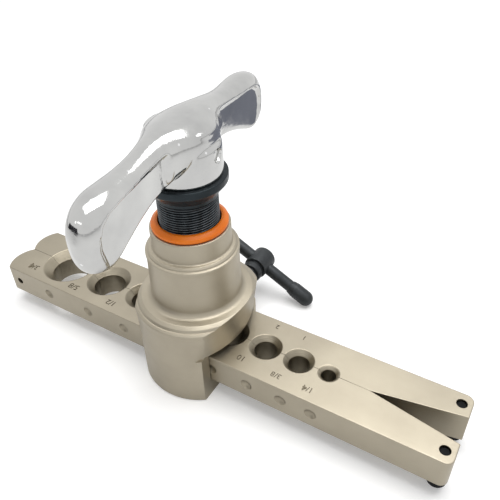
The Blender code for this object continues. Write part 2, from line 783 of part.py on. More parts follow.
def stop_collar():
    """The black skirt under the handle, which meets the wiper ring at the end of the feed."""
    bore = SPINDLE_RADIUS + SEAT_GAP
    bottom = THREAD_END + SEAT_GAP
    cone_top = COLLAR_CONE + (COLLAR_RIM - COLLAR_WAIST) * 0.9
    profile = [
        (bore, COLLAR_TOP),
        (COLLAR_RIM - 0.6 * MM, COLLAR_TOP),
        (COLLAR_RIM, COLLAR_TOP - 0.6 * MM),
        (COLLAR_RIM, cone_top),
        (COLLAR_WAIST, COLLAR_CONE),
        (COLLAR_WAIST, bottom + 0.5 * MM),
        (COLLAR_WAIST - 0.5 * MM, bottom),
        (bore, bottom),
    ]
    return turned("stop_collar", profile, (YOKE_X, 0, 0), "black_oxide", ring=True)


def flare_cone():
    """The 45 degree cone with its stem, grooved for the snap ring."""
    roof = HOLDER_BOTTOM - CONE_ROOF_GAP
    rim = CONE_APEX + CONE_RADIUS
    groove = SNAP_INNER - SEAT_GAP
    snap_top = SNAP_BOTTOM + SNAP_THICKNESS + SEAT_GAP
    profile = [
        (0.0, STEM_TOP),
        (STEM_RADIUS - 0.5 * MM, STEM_TOP),
        (STEM_RADIUS, STEM_TOP - 0.5 * MM),
        (STEM_RADIUS, snap_top),
        (groove, snap_top),
        (groove, roof),
        (CONE_RADIUS, roof),
        (CONE_RADIUS, rim),
        (CONE_TIP_BLUNT, CONE_APEX + CONE_TIP_BLUNT),
        (0.0, CONE_APEX + CONE_TIP_BLUNT * 0.6),
    ]
    return turned("flare_cone", profile, cone_axis(0.0), "bright_steel", steps=MID_STEPS)


def plain_ring(name, inner, outer, bottom, top, where, finish, steps=MID_STEPS):
    profile = [(inner, top), (outer, top), (outer, bottom), (inner, bottom)]
    return turned(name, profile, where, finish, ring=True, steps=steps)


def handle_pin_hole(name):
    where = (YOKE_X, 0, HANDLE_PIN_HEIGHT)
    turn = Matrix.Rotation(HANDLE_TURN, 4, "Z") @ ALONG_X
    radius = HANDLE_PIN_RADIUS + SEAT_GAP
    return cylinder_cutter(name, radius, -2 * HUB_RADIUS, 2 * HUB_RADIUS, where, turn, PIN_STEPS)


def handle_pin():
    half = HUB_RADIUS - HANDLE_PIN_SINK
    profile = [(0.0, half), (HANDLE_PIN_RADIUS, half), (HANDLE_PIN_RADIUS, -half), (0.0, -half)]
    turn = Matrix.Rotation(HANDLE_TURN, 4, "Z") @ ALONG_X
    where = (YOKE_X, 0, HANDLE_PIN_HEIGHT)
    return turned("handle_pin", profile, where, "bright_steel", turn, steps=PIN_STEPS)


def smooth_between(stations, along):
    """The values at a distance along a list of stations, on a Catmull-Rom curve through them."""
    index = max(i for i, station in enumerate(stations[:-1]) if station[0] <= along)
    low, high = stations[index], stations[index + 1]
    before = stations[max(index - 1, 0)]
    after = stations[min(index + 2, len(stations) - 1)]
    span = high[0] - low[0]
    t = (along - low[0]) / span
    values = []
    for p0, p1, p2, p3 in zip(before[1:], low[1:], high[1:], after[1:]):
        rise_low = (p2 - p0) / (high[0] - before[0]) * span
        rise_high = (p3 - p1) / (after[0] - low[0]) * span
        cubic = 2 * p1 - 2 * p2 + rise_low + rise_high
        square = 3 * (p2 - p1) - 2 * rise_low - rise_high
        values.append(((cubic * t + square) * t + rise_low) * t + p1)
    return values


def handle_arms():
    """Both arms in one loft from tip to tip, of oval sections.

    Each station has its distance out, the drop of its top and bottom below the hub's top and its half width.
    """
    arm = [
        (0.0, 0.0, 16.6, 13.8),
        (8.0, 0.0, 17.2, 12.2),
        (14.0, 0.2, 18.4, 9.4),
        (20.0, 0.9, 19.6, 7.4),
        (28.0, 2.3, 20.8, 6.8),
        (36.0, 3.2, 22.7, 7.6),
        (44.0, 3.2, 25.6, 8.6),
        (50.0, 3.0, 28.2, 8.8),
        (55.0, 3.6, 29.4, 7.9),
        (59.0, 5.2, 28.4, 6.4),
        (62.2, 8.4, 25.6, 4.4),
        (ARM_LENGTH / MM, 14.0, 19.6, 1.4),
    ]
    mirrored = [(-out, *rest) for out, *rest in reversed(arm[1:])]
    stations = mirrored + arm
    tip = ARM_LENGTH / MM
    places = [tip * math.sin(math.pi / 2 * i / ARM_SECTIONS) for i in range(ARM_SECTIONS)]
    places = [-u for u in reversed(places[1:])] + places
    places = [-tip] + places + [tip]
    vertices = []
    for u in places:
        top_drop, bottom_drop, half = smooth_between(stations, min(u, tip * 0.9999))
        for i in range(SECTION_POINTS):
            angle = 2 * math.pi * i / SECTION_POINTS
            across = math.copysign(abs(math.sin(angle)) ** SECTION_SQUARENESS, math.sin(angle))
            up = math.copysign(abs(math.cos(angle)) ** SECTION_SQUARENESS, math.cos(angle))
            drop = (top_drop + bottom_drop) / 2 - up * (bottom_drop - top_drop) / 2
            vertices.append((across * half * MM, u * MM, HUB_TOP - drop * MM))
    faces = [tuple(range(SECTION_POINTS))]
    for row in range(len(places) - 1):
        start = row * SECTION_POINTS
        for i in range(SECTION_POINTS):
            j = (i + 1) % SECTION_POINTS
            faces.append((start + i, start + SECTION_POINTS + i, start + SECTION_POINTS + j, start + j))
    last = (len(places) - 1) * SECTION_POINTS
    faces.append(tuple(last + i for i in reversed(range(SECTION_POINTS))))
    mesh = mesh_from("handle", vertices, faces=faces)
    mesh.shade_smooth()
    mesh.set_sharp_from_angle(angle=math.radians(40))
    return place(
        add_object("handle", mesh, "chrome"), (YOKE_X, 0, 0), Matrix.Rotation(HANDLE_TURN, 4, "Z")
    )


def web_pocket(name, end, side):
    """A cutter that leaves one arm's web flat on one side, under the rim that runs round its tip.

    Its outline has distances out and drops below the hub's top.
    """
    outline = [
        (19.0, 5.0),
        (28.0, 5.8),
        (38.0, 6.6),
        (48.0, 7.0),
        (53.0, 7.9),
        (56.8, 10.4),
        (58.8, 14.4),
        (59.2, 18.6),
        (58.2, 23.0),
        (55.4, 32.0),
        (19.0, 32.0),
    ]
    points = [(end * out * MM, HUB_TOP - drop * MM) for out, drop in outline]
    upright = Matrix.Rotation(HANDLE_TURN + math.pi / 2, 4, "Z") @ Matrix.Rotation(
        math.pi / 2, 4, "X"
    )
    aside = Matrix.Translation((0, 0, side * (WEB_HALF + HUB_RADIUS / 2)))
    return flat_plate(name, points, HUB_RADIUS, (YOKE_X, 0, 0), upright @ aside)


def handle():
    """The cast T handle: two arms with recessed webs, and a bored hub."""
    bore = SPINDLE_RADIUS + SEAT_GAP
    profile = [
        (0.0, HUB_TOP - 3.0 * MM),
        (HUB_WAIST - 2.0 * MM, HUB_TOP - 3.0 * MM),
        (HUB_WAIST, HUB_TOP - 5.0 * MM),
        (HUB_WAIST + 0.2 * MM, HUB_TOP - 8.0 * MM),
        (HUB_RADIUS - 0.5 * MM, HUB_TOP - 10.0 * MM),
        (HUB_RADIUS, HUB_TOP - 12.5 * MM),
        (HUB_RADIUS, HUB_BOTTOM + 1.0 * MM),
        (HUB_RADIUS - 1.0 * MM, HUB_BOTTOM),
        (0.0, HUB_BOTTOM),
    ]
    cast = handle_arms()
    for end, far in ((-1, "near"), (1, "far")):
        for side, hand in ((-1, "left"), (1, "right")):
            cut(cast, web_pocket(f"web_{far}_{hand}", end, side))
    join(cast, turned("handle_hub", profile, (YOKE_X, 0, 0)))
    roof = SPINDLE_END + SEAT_GAP
    spindle_bore = cylinder_cutter(
        "spindle_bore", bore, HUB_BOTTOM - 1.0 * MM, roof, (YOKE_X, 0, 0), steps=MID_STEPS
    )
    cut(cast, spindle_bore, handle_pin_hole("hub_pin_cut"))
    return cast


def build():
    holes = [tube_hole_cutter(name, *sizes) for name, sizes in TUBE_HOLES.items()]
    front = bar_half("front_bar_half", -1, holes)
    cut_dimples(front)
    rear = bar_half("rear_bar_half", 1, holes)
    front_pieces = [
        front,
        guide_pin("end_guide_pin", end_pin_x(), END_PIN_HALF),
        guide_pin("mid_guide_pin", mid_pin_x(), MID_PIN_HALF),
        stop_stud("front_stop_stud", -1),
    ]
    rear_pieces = [rear, stop_stud("rear_stop_stud", 1)]
    pivot = (APEX_X, 0, BAR_UNDERSIDE)
    carry("bar_slide_line", pivot, front_pieces)
    carry("bar_pivot", pivot, rear_pieces)

    yoke_body()
    ball = sphere("detent_ball", BALL_RADIUS, (YOKE_X, BALL_Y, DETENT_HEIGHT), "bright_steel")
    carry("detent_line", (YOKE_X, -SLOT_FRONT, DETENT_HEIGHT), [ball])
    detent_spring()

    carry("clamp_axis", (YOKE_X, SLOT_FRONT, CLAMP_HEIGHT), [clamp_pad(), clamp_screw()])
    tommy_pieces = [
        tommy_bar(),
        tommy_knob("lower_tommy_knob", 1),
        tommy_knob("upper_tommy_knob", -1),
    ]
    carry("tommy_line", (YOKE_X, TOMMY_Y, CLAMP_HEIGHT), tommy_pieces)

    feed_pieces = [
        wiper_ring(),
        feed_screw(),
        stop_collar(),
        handle(),
        handle_pin(),
        plain_ring(
            "needle_sleeve",
            STEM_RADIUS + SEAT_GAP,
            NEEDLE_BORE - SEAT_GAP,
            NEEDLE_SLEEVE_BOTTOM,
            NEEDLE_SLEEVE_TOP,
            cone_axis(0.0),
            "bright_steel",
        ),
        plain_ring(
            "cone_snap_ring",
            SNAP_INNER,
            SNAP_OUTER,
            SNAP_BOTTOM,
            SNAP_BOTTOM + SNAP_THICKNESS,
            cone_axis(0.0),
            "bright_steel",
        ),
        sphere(
            "thrust_ball",
            THRUST_BALL,
            cone_axis(STEM_TOP + SEAT_GAP + THRUST_BALL),
            "bright_steel",
        ),
    ]
    carry("feed_axis", (YOKE_X, 0, NECK_TOP), feed_pieces)
    carry("cone_axis", cone_axis(CONE_APEX), [flare_cone()])


clear_scene()
TOOL = new_collection("pipe_flaring_tool")
CUTTERS = new_collection("cutters")
build()
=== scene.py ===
"""Pipe flaring tool, dressed for its photograph with finer pieces and real finishes."""

import math

import bmesh
import bpy
from mathutils import Matrix, Vector


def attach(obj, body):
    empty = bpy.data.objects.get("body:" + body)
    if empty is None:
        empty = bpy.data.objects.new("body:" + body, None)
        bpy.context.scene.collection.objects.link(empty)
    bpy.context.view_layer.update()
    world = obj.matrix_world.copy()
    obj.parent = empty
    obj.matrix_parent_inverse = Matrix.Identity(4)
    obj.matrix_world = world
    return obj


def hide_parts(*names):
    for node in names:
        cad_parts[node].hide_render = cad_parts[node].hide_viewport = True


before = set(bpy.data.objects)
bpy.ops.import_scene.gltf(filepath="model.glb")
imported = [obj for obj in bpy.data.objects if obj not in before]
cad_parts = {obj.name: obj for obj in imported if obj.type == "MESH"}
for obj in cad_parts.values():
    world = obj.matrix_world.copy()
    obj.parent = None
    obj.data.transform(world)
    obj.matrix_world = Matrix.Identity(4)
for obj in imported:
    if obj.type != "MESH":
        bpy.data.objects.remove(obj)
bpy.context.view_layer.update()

# Lengths are in metres, the scene's unit
MM = 0.001

# Bar
BAR_LENGTH = 237.0 * MM
BAR_WIDTH = 35.0 * MM
BAR_HEIGHT = 15.0 * MM
BAR_UNDERSIDE = 9.0 * MM
BAR_TOP = BAR_UNDERSIDE + BAR_HEIGHT
PARTING_HALF = 0.07 * MM
BAR_EDGE = 0.6 * MM
BAR_CORNER = 3.5 * MM
END_BULGE = 3.4 * MM
NOTCH_LENGTH = 37.8 * MM
NOTCH_ANGLE = math.radians(10.0)
APEX_X = BAR_LENGTH / 2 - NOTCH_LENGTH
PIN_LINE = BAR_TOP - 7.4 * MM
END_PIN_X = 9.2 * MM - BAR_LENGTH / 2
MID_PIN_X = APEX_X - 101.0 * MM
STUD_X = BAR_LENGTH / 2 - 4.3 * MM
STUD_OFFSET = 12.0 * MM

# Tube holes: bore, mouth and distance from the notch's apex
TUBE_HOLES = [
    (19.4 * MM, 27.6 * MM, 168.4 * MM),
    (15.6 * MM, 22.0 * MM, 141.4 * MM),
    (13.0 * MM, 18.6 * MM, 118.3 * MM),
    (12.0 * MM, 16.6 * MM, 84.6 * MM),
    (11.2 * MM, 16.3 * MM, 67.5 * MM),
    (10.2 * MM, 14.8 * MM, 49.4 * MM),
    (9.1 * MM, 13.6 * MM, 32.9 * MM),
    (6.2 * MM, 9.2 * MM, 18.9 * MM),
]
YOKE_HOLE = 3
YOKE_X = APEX_X - TUBE_HOLES[YOKE_HOLE][2]
HOLE_LIP = 0.2 * MM
DIMPLE_RADIUS = 2.7 * MM
DIMPLE_DEPTH = 1.15 * MM
FRONT_PIN_HOLE = 1.8 * MM
REAR_PIN_HOLE = 2.5 * MM
MID_PIN_REACH = 9.3 * MM
STUD_HOLE = 2.2 * MM
STUD_STEM = 1.9 * MM
STUD_FOOT = 4.0 * MM
STUD_FOOT_HEIGHT = 4.7 * MM

# Engraved sizes: words, x, y, digit height and the half of the bar they are on. The font's
# size and the growth of its strokes are given per digit height
SIZE_MARKS = [
    ("3/4", -103.2 * MM, -10.8 * MM, 3.3 * MM, -1),
    ("5/8", -73.2 * MM, -12.2 * MM, 3.3 * MM, -1),
    ("1/2", -48.6 * MM, -12.2 * MM, 3.0 * MM, -1),
    ("10", 25.2 * MM, -11.0 * MM, 2.8 * MM, -1),
    ("3/8", 42.9 * MM, -11.9 * MM, 2.6 * MM, -1),
    ("1/4", 57.7 * MM, -11.8 * MM, 2.6 * MM, -1),
    ("2", 30.1 * MM, 13.3 * MM, 2.4 * MM, 1),
    ("1", 43.9 * MM, 13.1 * MM, 2.4 * MM, 1),
]
ENGRAVING_DEPTH = 0.35 * MM
FONT_SIZE = 1.45
STROKE_GROWTH = 0.012

# Yoke
BASE_RADIUS = 28.5 * MM
BASE_TOP = 40.3 * MM
SHOULDER_TOP = 44.6 * MM
DRUM_RADIUS = 20.0 * MM
DRUM_TOP = 67.4 * MM
NECK_RADIUS = 16.9 * MM
NECK_TOP = 79.9 * MM
NUT_RADIUS = 12.8 * MM
SEAT_RADIUS = 15.6 * MM
SEAT_FLOOR = 75.3 * MM
CHAMBER_RADIUS = 15.2 * MM
NUT_BOTTOM = 56.5 * MM
HOOK_HALF = 16.5 * MM
ARCH_UNDERSIDE = 27.0 * MM
ARCH_REACH = 24.8 * MM
ARCH_RADIUS = 43.0 * MM
ARCH_LEAN = math.radians(7.0)
SLOT_FRONT = 17.8 * MM
SLOT_REAR = 20.8 * MM
SLOT_BOTTOM = 8.7 * MM
SLOT_TOP = 24.3 * MM
PASSAGE_HALF = 11.5 * MM
DETENT_BORE = 2.3 * MM
YOKE_STEPS = 200

# Wiper ring
RING_TOP = 83.0 * MM
RING_RADIUS = 16.1 * MM
RING_BORE = 13.0 * MM

# Clamp, its lengths measured along the screw from the bar's middle
CLAMP_HEIGHT = 18.5 * MM
BOSS_RADIUS = 7.5 * MM
BOSS_END = 34.0 * MM
BOSS_START = 21.8 * MM
CLAMP_BORE = 4.3 * MM
PAD_BORE = 5.3 * MM
PAD_BORE_END = 23.7 * MM
HEAD_RADIUS = 6.3 * MM
HEAD_START = 50.4 * MM
HEAD_END = 62.0 * MM
FLANGE_RADIUS = 5.6 * MM
FLANGE_START = 45.4 * MM
FLANGE_END = 48.6 * MM
GROOVE_RADIUS = 4.6 * MM
SHANK_RADIUS = 4.0 * MM
SHANK_END = 20.4 * MM
NOSE_RADIUS = 2.2 * MM
CLAMP_PITCH = 1.25 * MM
CLAMP_THREAD_DEPTH = 0.5 * MM
TOMMY_Y = 56.2 * MM
TOMMY_ANGLE = math.radians(27.0)
TOMMY_RADIUS = 3.2 * MM
TOMMY_HOLE = 3.5 * MM
TENON_RADIUS = 2.0 * MM
TENON_START = 26.0 * MM
TENON_END = 32.0 * MM
KNOB_RADIUS = 4.1 * MM
KNOB_NECK = 3.5 * MM
KNOB_START = 21.0 * MM
KNOB_END = 35.3 * MM

# Feed screw and what it carries
THREAD_RADIUS = 12.5 * MM
THREAD_LEAD = 2.25 * MM
THREAD_STARTS = 2
THREAD_DEPTH = 0.75 * MM
THREAD_START = 51.5 * MM
THREAD_END = 94.1 * MM
SPINDLE_RADIUS = 8.0 * MM
SPINDLE_TOP = 120.0 * MM
HOLDER_RADIUS = 14.2 * MM
HOLDER_TOP = 51.4 * MM
HOLDER_BOTTOM = 43.9 * MM
SLEEVE_BORE = 6.8 * MM
SLEEVE_BOTTOM = 45.7 * MM
COLLAR_RADIUS = 17.0 * MM
COLLAR_FOOT = 94.4 * MM
COLLAR_BORE = 8.3 * MM
HUB_BOTTOM = 103.9 * MM
HUB_TOP = 127.0 * MM
HUB_RADIUS = 15.3 * MM
HUB_WAIST = 13.6 * MM
HANDLE_TURN = math.radians(6.0)
HANDLE_PIN_HEIGHT = 113.5 * MM
HANDLE_PIN_HOLE = 2.3 * MM
ARM_LENGTH = 64.0 * MM
WEB_HALF = 4.8 * MM
SKIN_CELL = 0.42 * MM
SKIN_PASSES = 9
CONE_OFFSET = 1.2 * MM
CONE_SIDE = math.radians(206.0)
CONE_APEX = 29.5 * MM
CONE_RADIUS = 12.6 * MM
CONE_RIM = 43.5 * MM
CONE_AXIS = (
    YOKE_X + CONE_OFFSET * math.cos(CONE_SIDE),
    CONE_OFFSET * math.sin(CONE_SIDE),
    0.0,
)

# Facets round a turned piece
FINE = 128
MEDIUM = 64

# Turns that lay a piece's own Z axis along Y or X
ALONG_Y = Matrix.Rotation(-math.pi / 2, 4, "X")
ALONG_X = Matrix.Rotation(math.pi / 2, 4, "Y")


# Colours, node groups and materials


def screen(red, green, blue):
    """A colour as it looks on the screen, made linear."""
    return tuple(((v / 255 + 0.055) / 1.055) ** 2.4 for v in (red, green, blue)) + (1.0,)


def add_node(tree, kind, values=None, **settings):
    """A node with its settings and with its sockets set or linked."""
    node = tree.nodes.new(kind)
    for key, value in settings.items():
        setattr(node, key, value)
    for key, value in (values or {}).items():
        if isinstance(value, bpy.types.NodeSocket):
            tree.links.new(value, node.inputs[key])
        else:
            node.inputs[key].default_value = value
    return node


def new_group(name, inputs, outputs):
    """An empty node group with number inputs and number outputs."""
    group = bpy.data.node_groups.new(name, "ShaderNodeTree")
    for label, value in inputs:
        socket = group.interface.new_socket(label, in_out="INPUT", socket_type="NodeSocketFloat")
        socket.default_value = value
    for label in outputs:
        group.interface.new_socket(label, in_out="OUTPUT", socket_type="NodeSocketFloat")
    return group, group.nodes.new("NodeGroupInput"), group.nodes.new("NodeGroupOutput")


def plating_group():
    """Fine grain, broad tone and smudges of a plated or oxidised surface."""
    group, given, out = new_group(
        "plating", [("Grain", 2500.0), ("Patch", 35.0)], ["Height", "Tone", "Smudge"]
    )
    where = add_node(group, "ShaderNodeTexCoord").outputs["Object"]
    grain = add_node(
        group,
        "ShaderNodeTexNoise",
        {"Vector": where, "Scale": given.outputs["Grain"], "Detail": 3.0, "Roughness": 0.6},
    )
    tone = add_node(
        group,
        "ShaderNodeTexNoise",
        {"Vector": where, "Scale": given.outputs["Patch"], "Detail": 4.0, "Roughness": 0.55},
    )
    wiped = add_node(group, "ShaderNodeMapping", {"Vector": where, "Scale": (1.0, 2.6, 1.7)})
    smudge = add_node(
        group,
        "ShaderNodeTexNoise",
        {
            "Vector": wiped.outputs[0],
            "Scale": given.outputs["Patch"],
            "Detail": 6.0,
            "Distortion": 0.8,
        },
    )
    group.links.new(grain.outputs["Fac"], out.inputs["Height"])
    group.links.new(tone.outputs["Fac"], out.inputs["Tone"])
    group.links.new(smudge.outputs["Fac"], out.inputs["Smudge"])
    return group


def tool_mark_group():
    """Parallel marks of a cutter or a grinding belt, round the Z axis or along X."""
    group, given, out = new_group(
        "tool_marks", [("Spacing", 2000.0), ("Along X", 0.0)], ["Height"]
    )
    where = add_node(group, "ShaderNodeTexCoord").outputs["Object"]
    turned = add_node(
        group, "ShaderNodeMapping", {"Vector": where, "Scale": (0.004, 0.004, 1.0)}
    )
    ground = add_node(
        group, "ShaderNodeMapping", {"Vector": where, "Scale": (0.02, 1.0, 1.0)}
    )
    choice = add_node(
        group,
        "ShaderNodeMix",
        {"Factor": given.outputs["Along X"], 4: turned.outputs[0], 5: ground.outputs[0]},
        data_type="VECTOR",
    )
    marks = add_node(
        group,
        "ShaderNodeTexNoise",
        {"Vector": choice.outputs[1], "Scale": given.outputs["Spacing"], "Detail": 2.0},
    )
    group.links.new(marks.outputs["Fac"], out.inputs["Height"])
    return group


def edge_wear_and_sheen_group():
    """Where a convex edge is lighter: rubbed wear on the black finishes, a painted highlight on the
    chrome's edges, and both on the thread's crests.
    """
    group, given, out = new_group("edge_wear_and_sheen", [("Start", 0.53), ("End", 0.60)], ["Wear"])
    point = add_node(group, "ShaderNodeNewGeometry").outputs["Pointiness"]
    where = add_node(group, "ShaderNodeTexCoord").outputs["Object"]
    broken = add_node(group, "ShaderNodeTexNoise", {"Vector": where, "Scale": 600.0, "Detail": 3.0})
    uneven = add_node(
        group,
        "ShaderNodeMath",
        {0: broken.outputs["Fac"], 1: 0.05, 2: point},
        operation="MULTIPLY_ADD",
    )
    worn_and_lit = add_node(
        group,
        "ShaderNodeMapRange",
        {
            "Value": uneven.outputs[0],
            "From Min": given.outputs["Start"],
            "From Max": given.outputs["End"],
        },
    )
    group.links.new(worn_and_lit.outputs[0], out.inputs["Wear"])
    return group


def new_material(name):
    """A material with its node tree and its shader."""
    material = bpy.data.materials.new(name)
    material.use_nodes = True
    return material, material.node_tree, material.node_tree.nodes["Principled BSDF"]


def two_tone(tree, mask, dark, light):
    mix = add_node(tree, "ShaderNodeMix", {"Factor": mask, 6: dark, 7: light}, data_type="RGBA")
    return mix.outputs[2]


def spread(tree, value, low, high):
    """A noise's middle stretch, where nearly all of it lies, carried to a range."""
    made = add_node(
        tree,
        "ShaderNodeMapRange",
        {"Value": value, "From Min": 0.3, "From Max": 0.7, "To Min": low, "To Max": high},
    )
    return made.outputs[0]


def plated(tree, grain, patch):
    """The plating group with its grain and patch sizes, as its node."""
    plating = add_node(tree, "ShaderNodeGroup", {}, node_tree=PLATING)
    plating.inputs["Grain"].default_value = grain
    plating.inputs["Patch"].default_value = patch
    return plating


def bumped(tree, height, distance, onto=None):
    values = {"Height": height, "Distance": distance}
    if onto:
        values["Normal"] = onto
    return add_node(tree, "ShaderNodeBump", values).outputs[0]


def metal(
    name, dark, light, rough, grain, patch, bump, marks=None, wear_and_sheen=None, metallic=1.0, gloss=0.5
):
    """A metal finish: two tones, uneven roughness, grain, tool marks, and lighter convex edges,
    rubbed wear on some finishes and a painted highlight on others.
    """
    material, tree, shader = new_material(name)
    plating = plated(tree, grain, patch)
    colour = two_tone(tree, spread(tree, plating.outputs["Tone"], 0.0, 1.0), dark, light)
    normal = bumped(tree, plating.outputs["Height"], bump)
    if marks:
        spacing, along_x, depth = marks
        lines = add_node(tree, "ShaderNodeGroup", {}, node_tree=TOOL_MARKS)
        lines.inputs["Spacing"].default_value = spacing
        lines.inputs["Along X"].default_value = along_x
        normal = bumped(tree, lines.outputs["Height"], depth, onto=normal)
    # Lighter convex edges: rubbed wear, and on the chrome and the thread's crests a painted
    # highlight.
    if wear_and_sheen:
        start, end, bright = wear_and_sheen
        rubbed_and_lit = add_node(tree, "ShaderNodeGroup", {}, node_tree=EDGE_WEAR_AND_SHEEN)
        rubbed_and_lit.inputs["Start"].default_value = start
        rubbed_and_lit.inputs["End"].default_value = end
        colour = two_tone(tree, rubbed_and_lit.outputs["Wear"], colour, bright)
    tree.links.new(colour, shader.inputs["Base Color"])
    tree.links.new(
        spread(tree, plating.outputs["Smudge"], rough[0], rough[1]), shader.inputs["Roughness"]
    )
    tree.links.new(normal, shader.inputs["Normal"])
    shader.inputs["Metallic"].default_value = metallic
    shader.inputs["Specular IOR Level"].default_value = gloss
    return material


def ring_material():
    """Orange moulded plastic of the wiper ring."""
    material, tree, shader = new_material("orange_wiper")
    plating = plated(tree, 1500.0, 90.0)
    tone = spread(tree, plating.outputs["Tone"], 0.0, 1.0)
    colour = two_tone(tree, tone, screen(232, 114, 18), screen(244, 130, 30))
    tree.links.new(colour, shader.inputs["Base Color"])
    tree.links.new(spread(tree, plating.outputs["Smudge"], 0.3, 0.45), shader.inputs["Roughness"])
    tree.links.new(bumped(tree, plating.outputs["Height"], 0.00004), shader.inputs["Normal"])
    shader.inputs["Specular IOR Level"].default_value = 0.3
    return material


# Mesh building


def finished(name, work):
    """The mesh of a bmesh that is done with."""
    mesh = bpy.data.meshes.new(name)
    work.to_mesh(mesh)
    work.free()
    return mesh


def new_piece(name, mesh, material=None, where=(0.0, 0.0, 0.0), turn=None):
    """An object in the scene, turned and then moved."""
    obj = bpy.data.objects.new(name, mesh)
    bpy.context.scene.collection.objects.link(obj)
    obj.matrix_world = Matrix.Translation(where) @ (turn or Matrix.Identity(4))
    if material:
        mesh.materials.append(material)
    return obj


def eased(profile, closed=False, count=5):
    """A profile whose corners with a third number are rounded by that radius."""
    made = []
    last = len(profile) - 1
    for i, point in enumerate(profile):
        here = Vector(point[:2])
        ends = not closed and i in (0, last)
        if len(point) < 3 or ends:
            made.append((here.x, here.y))
            continue
        before = Vector(profile[i - 1][:2]) - here
        after = Vector(profile[(i + 1) % len(profile)][:2]) - here
        angle = before.angle(after)
        back = point[2] / math.tan(angle / 2)
        back = min(back, before.length * 0.49, after.length * 0.49)
        start = here + before.normalized() * back
        end = here + after.normalized() * back
        for step in range(count + 1):
            t = step / count
            curve = start * (1 - t) ** 2 + here * 2 * t * (1 - t) + end * t**2
            made.append((curve.x, curve.y))
    return made


def turned_mesh(name, profile, steps=FINE, closed=False, relief=None):
    """A mesh of revolution about Z. relief gives the radius at an angle, a radius and a height."""
    work = bmesh.new()
    rings = []
    for radius, height in profile:
        if radius < 1e-7:
            rings.append([work.verts.new((0.0, 0.0, height))])
            continue
        ring = []
        for i in range(steps):
            angle = 2 * math.pi * i / steps
            reach = relief(angle, radius, height) if relief else radius
            ring.append(work.verts.new((reach * math.cos(angle), reach * math.sin(angle), height)))
        rings.append(ring)
    pairs = list(zip(rings, rings[1:]))
    if closed:
        pairs.append((rings[-1], rings[0]))
    for upper, lower in pairs:
        for i in range(steps):
            j = (i + 1) % steps
            corners = [upper[i % len(upper)], upper[j % len(upper)]]
            corners += [lower[j % len(lower)], lower[i % len(lower)]]
            unique = []
            for corner in corners:
                if corner not in unique:
                    unique.append(corner)
            if len(unique) > 2:
                work.faces.new(unique)
    bmesh.ops.recalc_face_normals(work, faces=work.faces)
    mesh = finished(name, work)
    soften(mesh)
    return mesh


def soften(mesh, angle=32):
    """Smooth shading, with edges sharper than the angle kept sharp."""
    mesh.shade_smooth()
    mesh.set_sharp_from_angle(angle=math.radians(angle))


def turned(name, profile, material=None, where=(0.0, 0.0, 0.0), turn=None, **how):
    return new_piece(name, turned_mesh(name, profile, **how), material, where, turn)


def settle(obj):
    """Applies the modifiers to the mesh."""
    bpy.context.view_layer.update()
    graph = bpy.context.evaluated_depsgraph_get()
    mesh = bpy.data.meshes.new_from_object(obj.evaluated_get(graph))
    obj.modifiers.clear()
    obj.data = mesh
    return obj


def combine(target, others, operation="DIFFERENCE"):
    for other in others:
        step = target.modifiers.new(other.name, "BOOLEAN")
        step.operation = operation
        step.solver = "EXACT"
        step.material_mode = "TRANSFER"
        step.object = other
    settle(target)
    for other in others:
        bpy.data.objects.remove(other, do_unlink=True)
    return target


def cast_skin(obj, cell, passes):
    """Runs the surface together as a casting's, with every corner rounded a little."""
    remesh = obj.modifiers.new("skin", "REMESH")
    remesh.mode = "VOXEL"
    remesh.voxel_size = cell
    smooth = obj.modifiers.new("tumbled", "SMOOTH")
    smooth.factor = 0.5
    smooth.iterations = passes
    settle(obj)
    obj.data.shade_smooth()
    return obj


def block(name, low, high):
    """A box between two corners."""
    work = bmesh.new()
    bmesh.ops.create_cube(work, size=1.0)
    size = [h - l for l, h in zip(low, high)]
    bmesh.ops.scale(work, vec=size, verts=work.verts)
    bmesh.ops.translate(work, vec=[(h + l) / 2 for l, h in zip(low, high)], verts=work.verts)
    return new_piece(name, finished(name, work))


def rod(name, radius, low, high, material=None, where=(0.0, 0.0, 0.0), turn=None, steps=MEDIUM):
    profile = [(0.0, high), (radius, high), (radius, low), (0.0, low)]
    return turned(name, profile, material, where, turn, steps=steps)


def arc(centre, radius, start, end, count):
    """Points on an arc between two angles in degrees."""
    angles = [math.radians(start + (end - start) * i / count) for i in range(count + 1)]
    return [(centre[0] + radius * math.cos(a), centre[1] + radius * math.sin(a)) for a in angles]


def declare(piece, body, nodes):
    """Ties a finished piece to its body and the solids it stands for."""
    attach(piece, body)
    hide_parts(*nodes)
    return piece


# Bar


def bar_outline():
    """Half of the bar from above, x from the apex and y outwards."""
    outer = BAR_WIDTH / 2
    left = NOTCH_LENGTH - BAR_LENGTH
    half_chord = (outer - PARTING_HALF) / 2
    radius = (half_chord**2 + END_BULGE**2) / (2 * END_BULGE)
    reach = math.degrees(math.asin(half_chord / radius))
    end = arc((left + radius, PARTING_HALF + half_chord), radius, 180 + reach, 180 - reach, 40)
    corner_at = (NOTCH_LENGTH - BAR_CORNER, outer - BAR_CORNER)
    corner = arc(corner_at, BAR_CORNER, 90, 0, 16)
    notch_end = (NOTCH_LENGTH, PARTING_HALF + NOTCH_LENGTH * math.tan(NOTCH_ANGLE))
    return end + corner + [notch_end, (0.0, PARTING_HALF)]


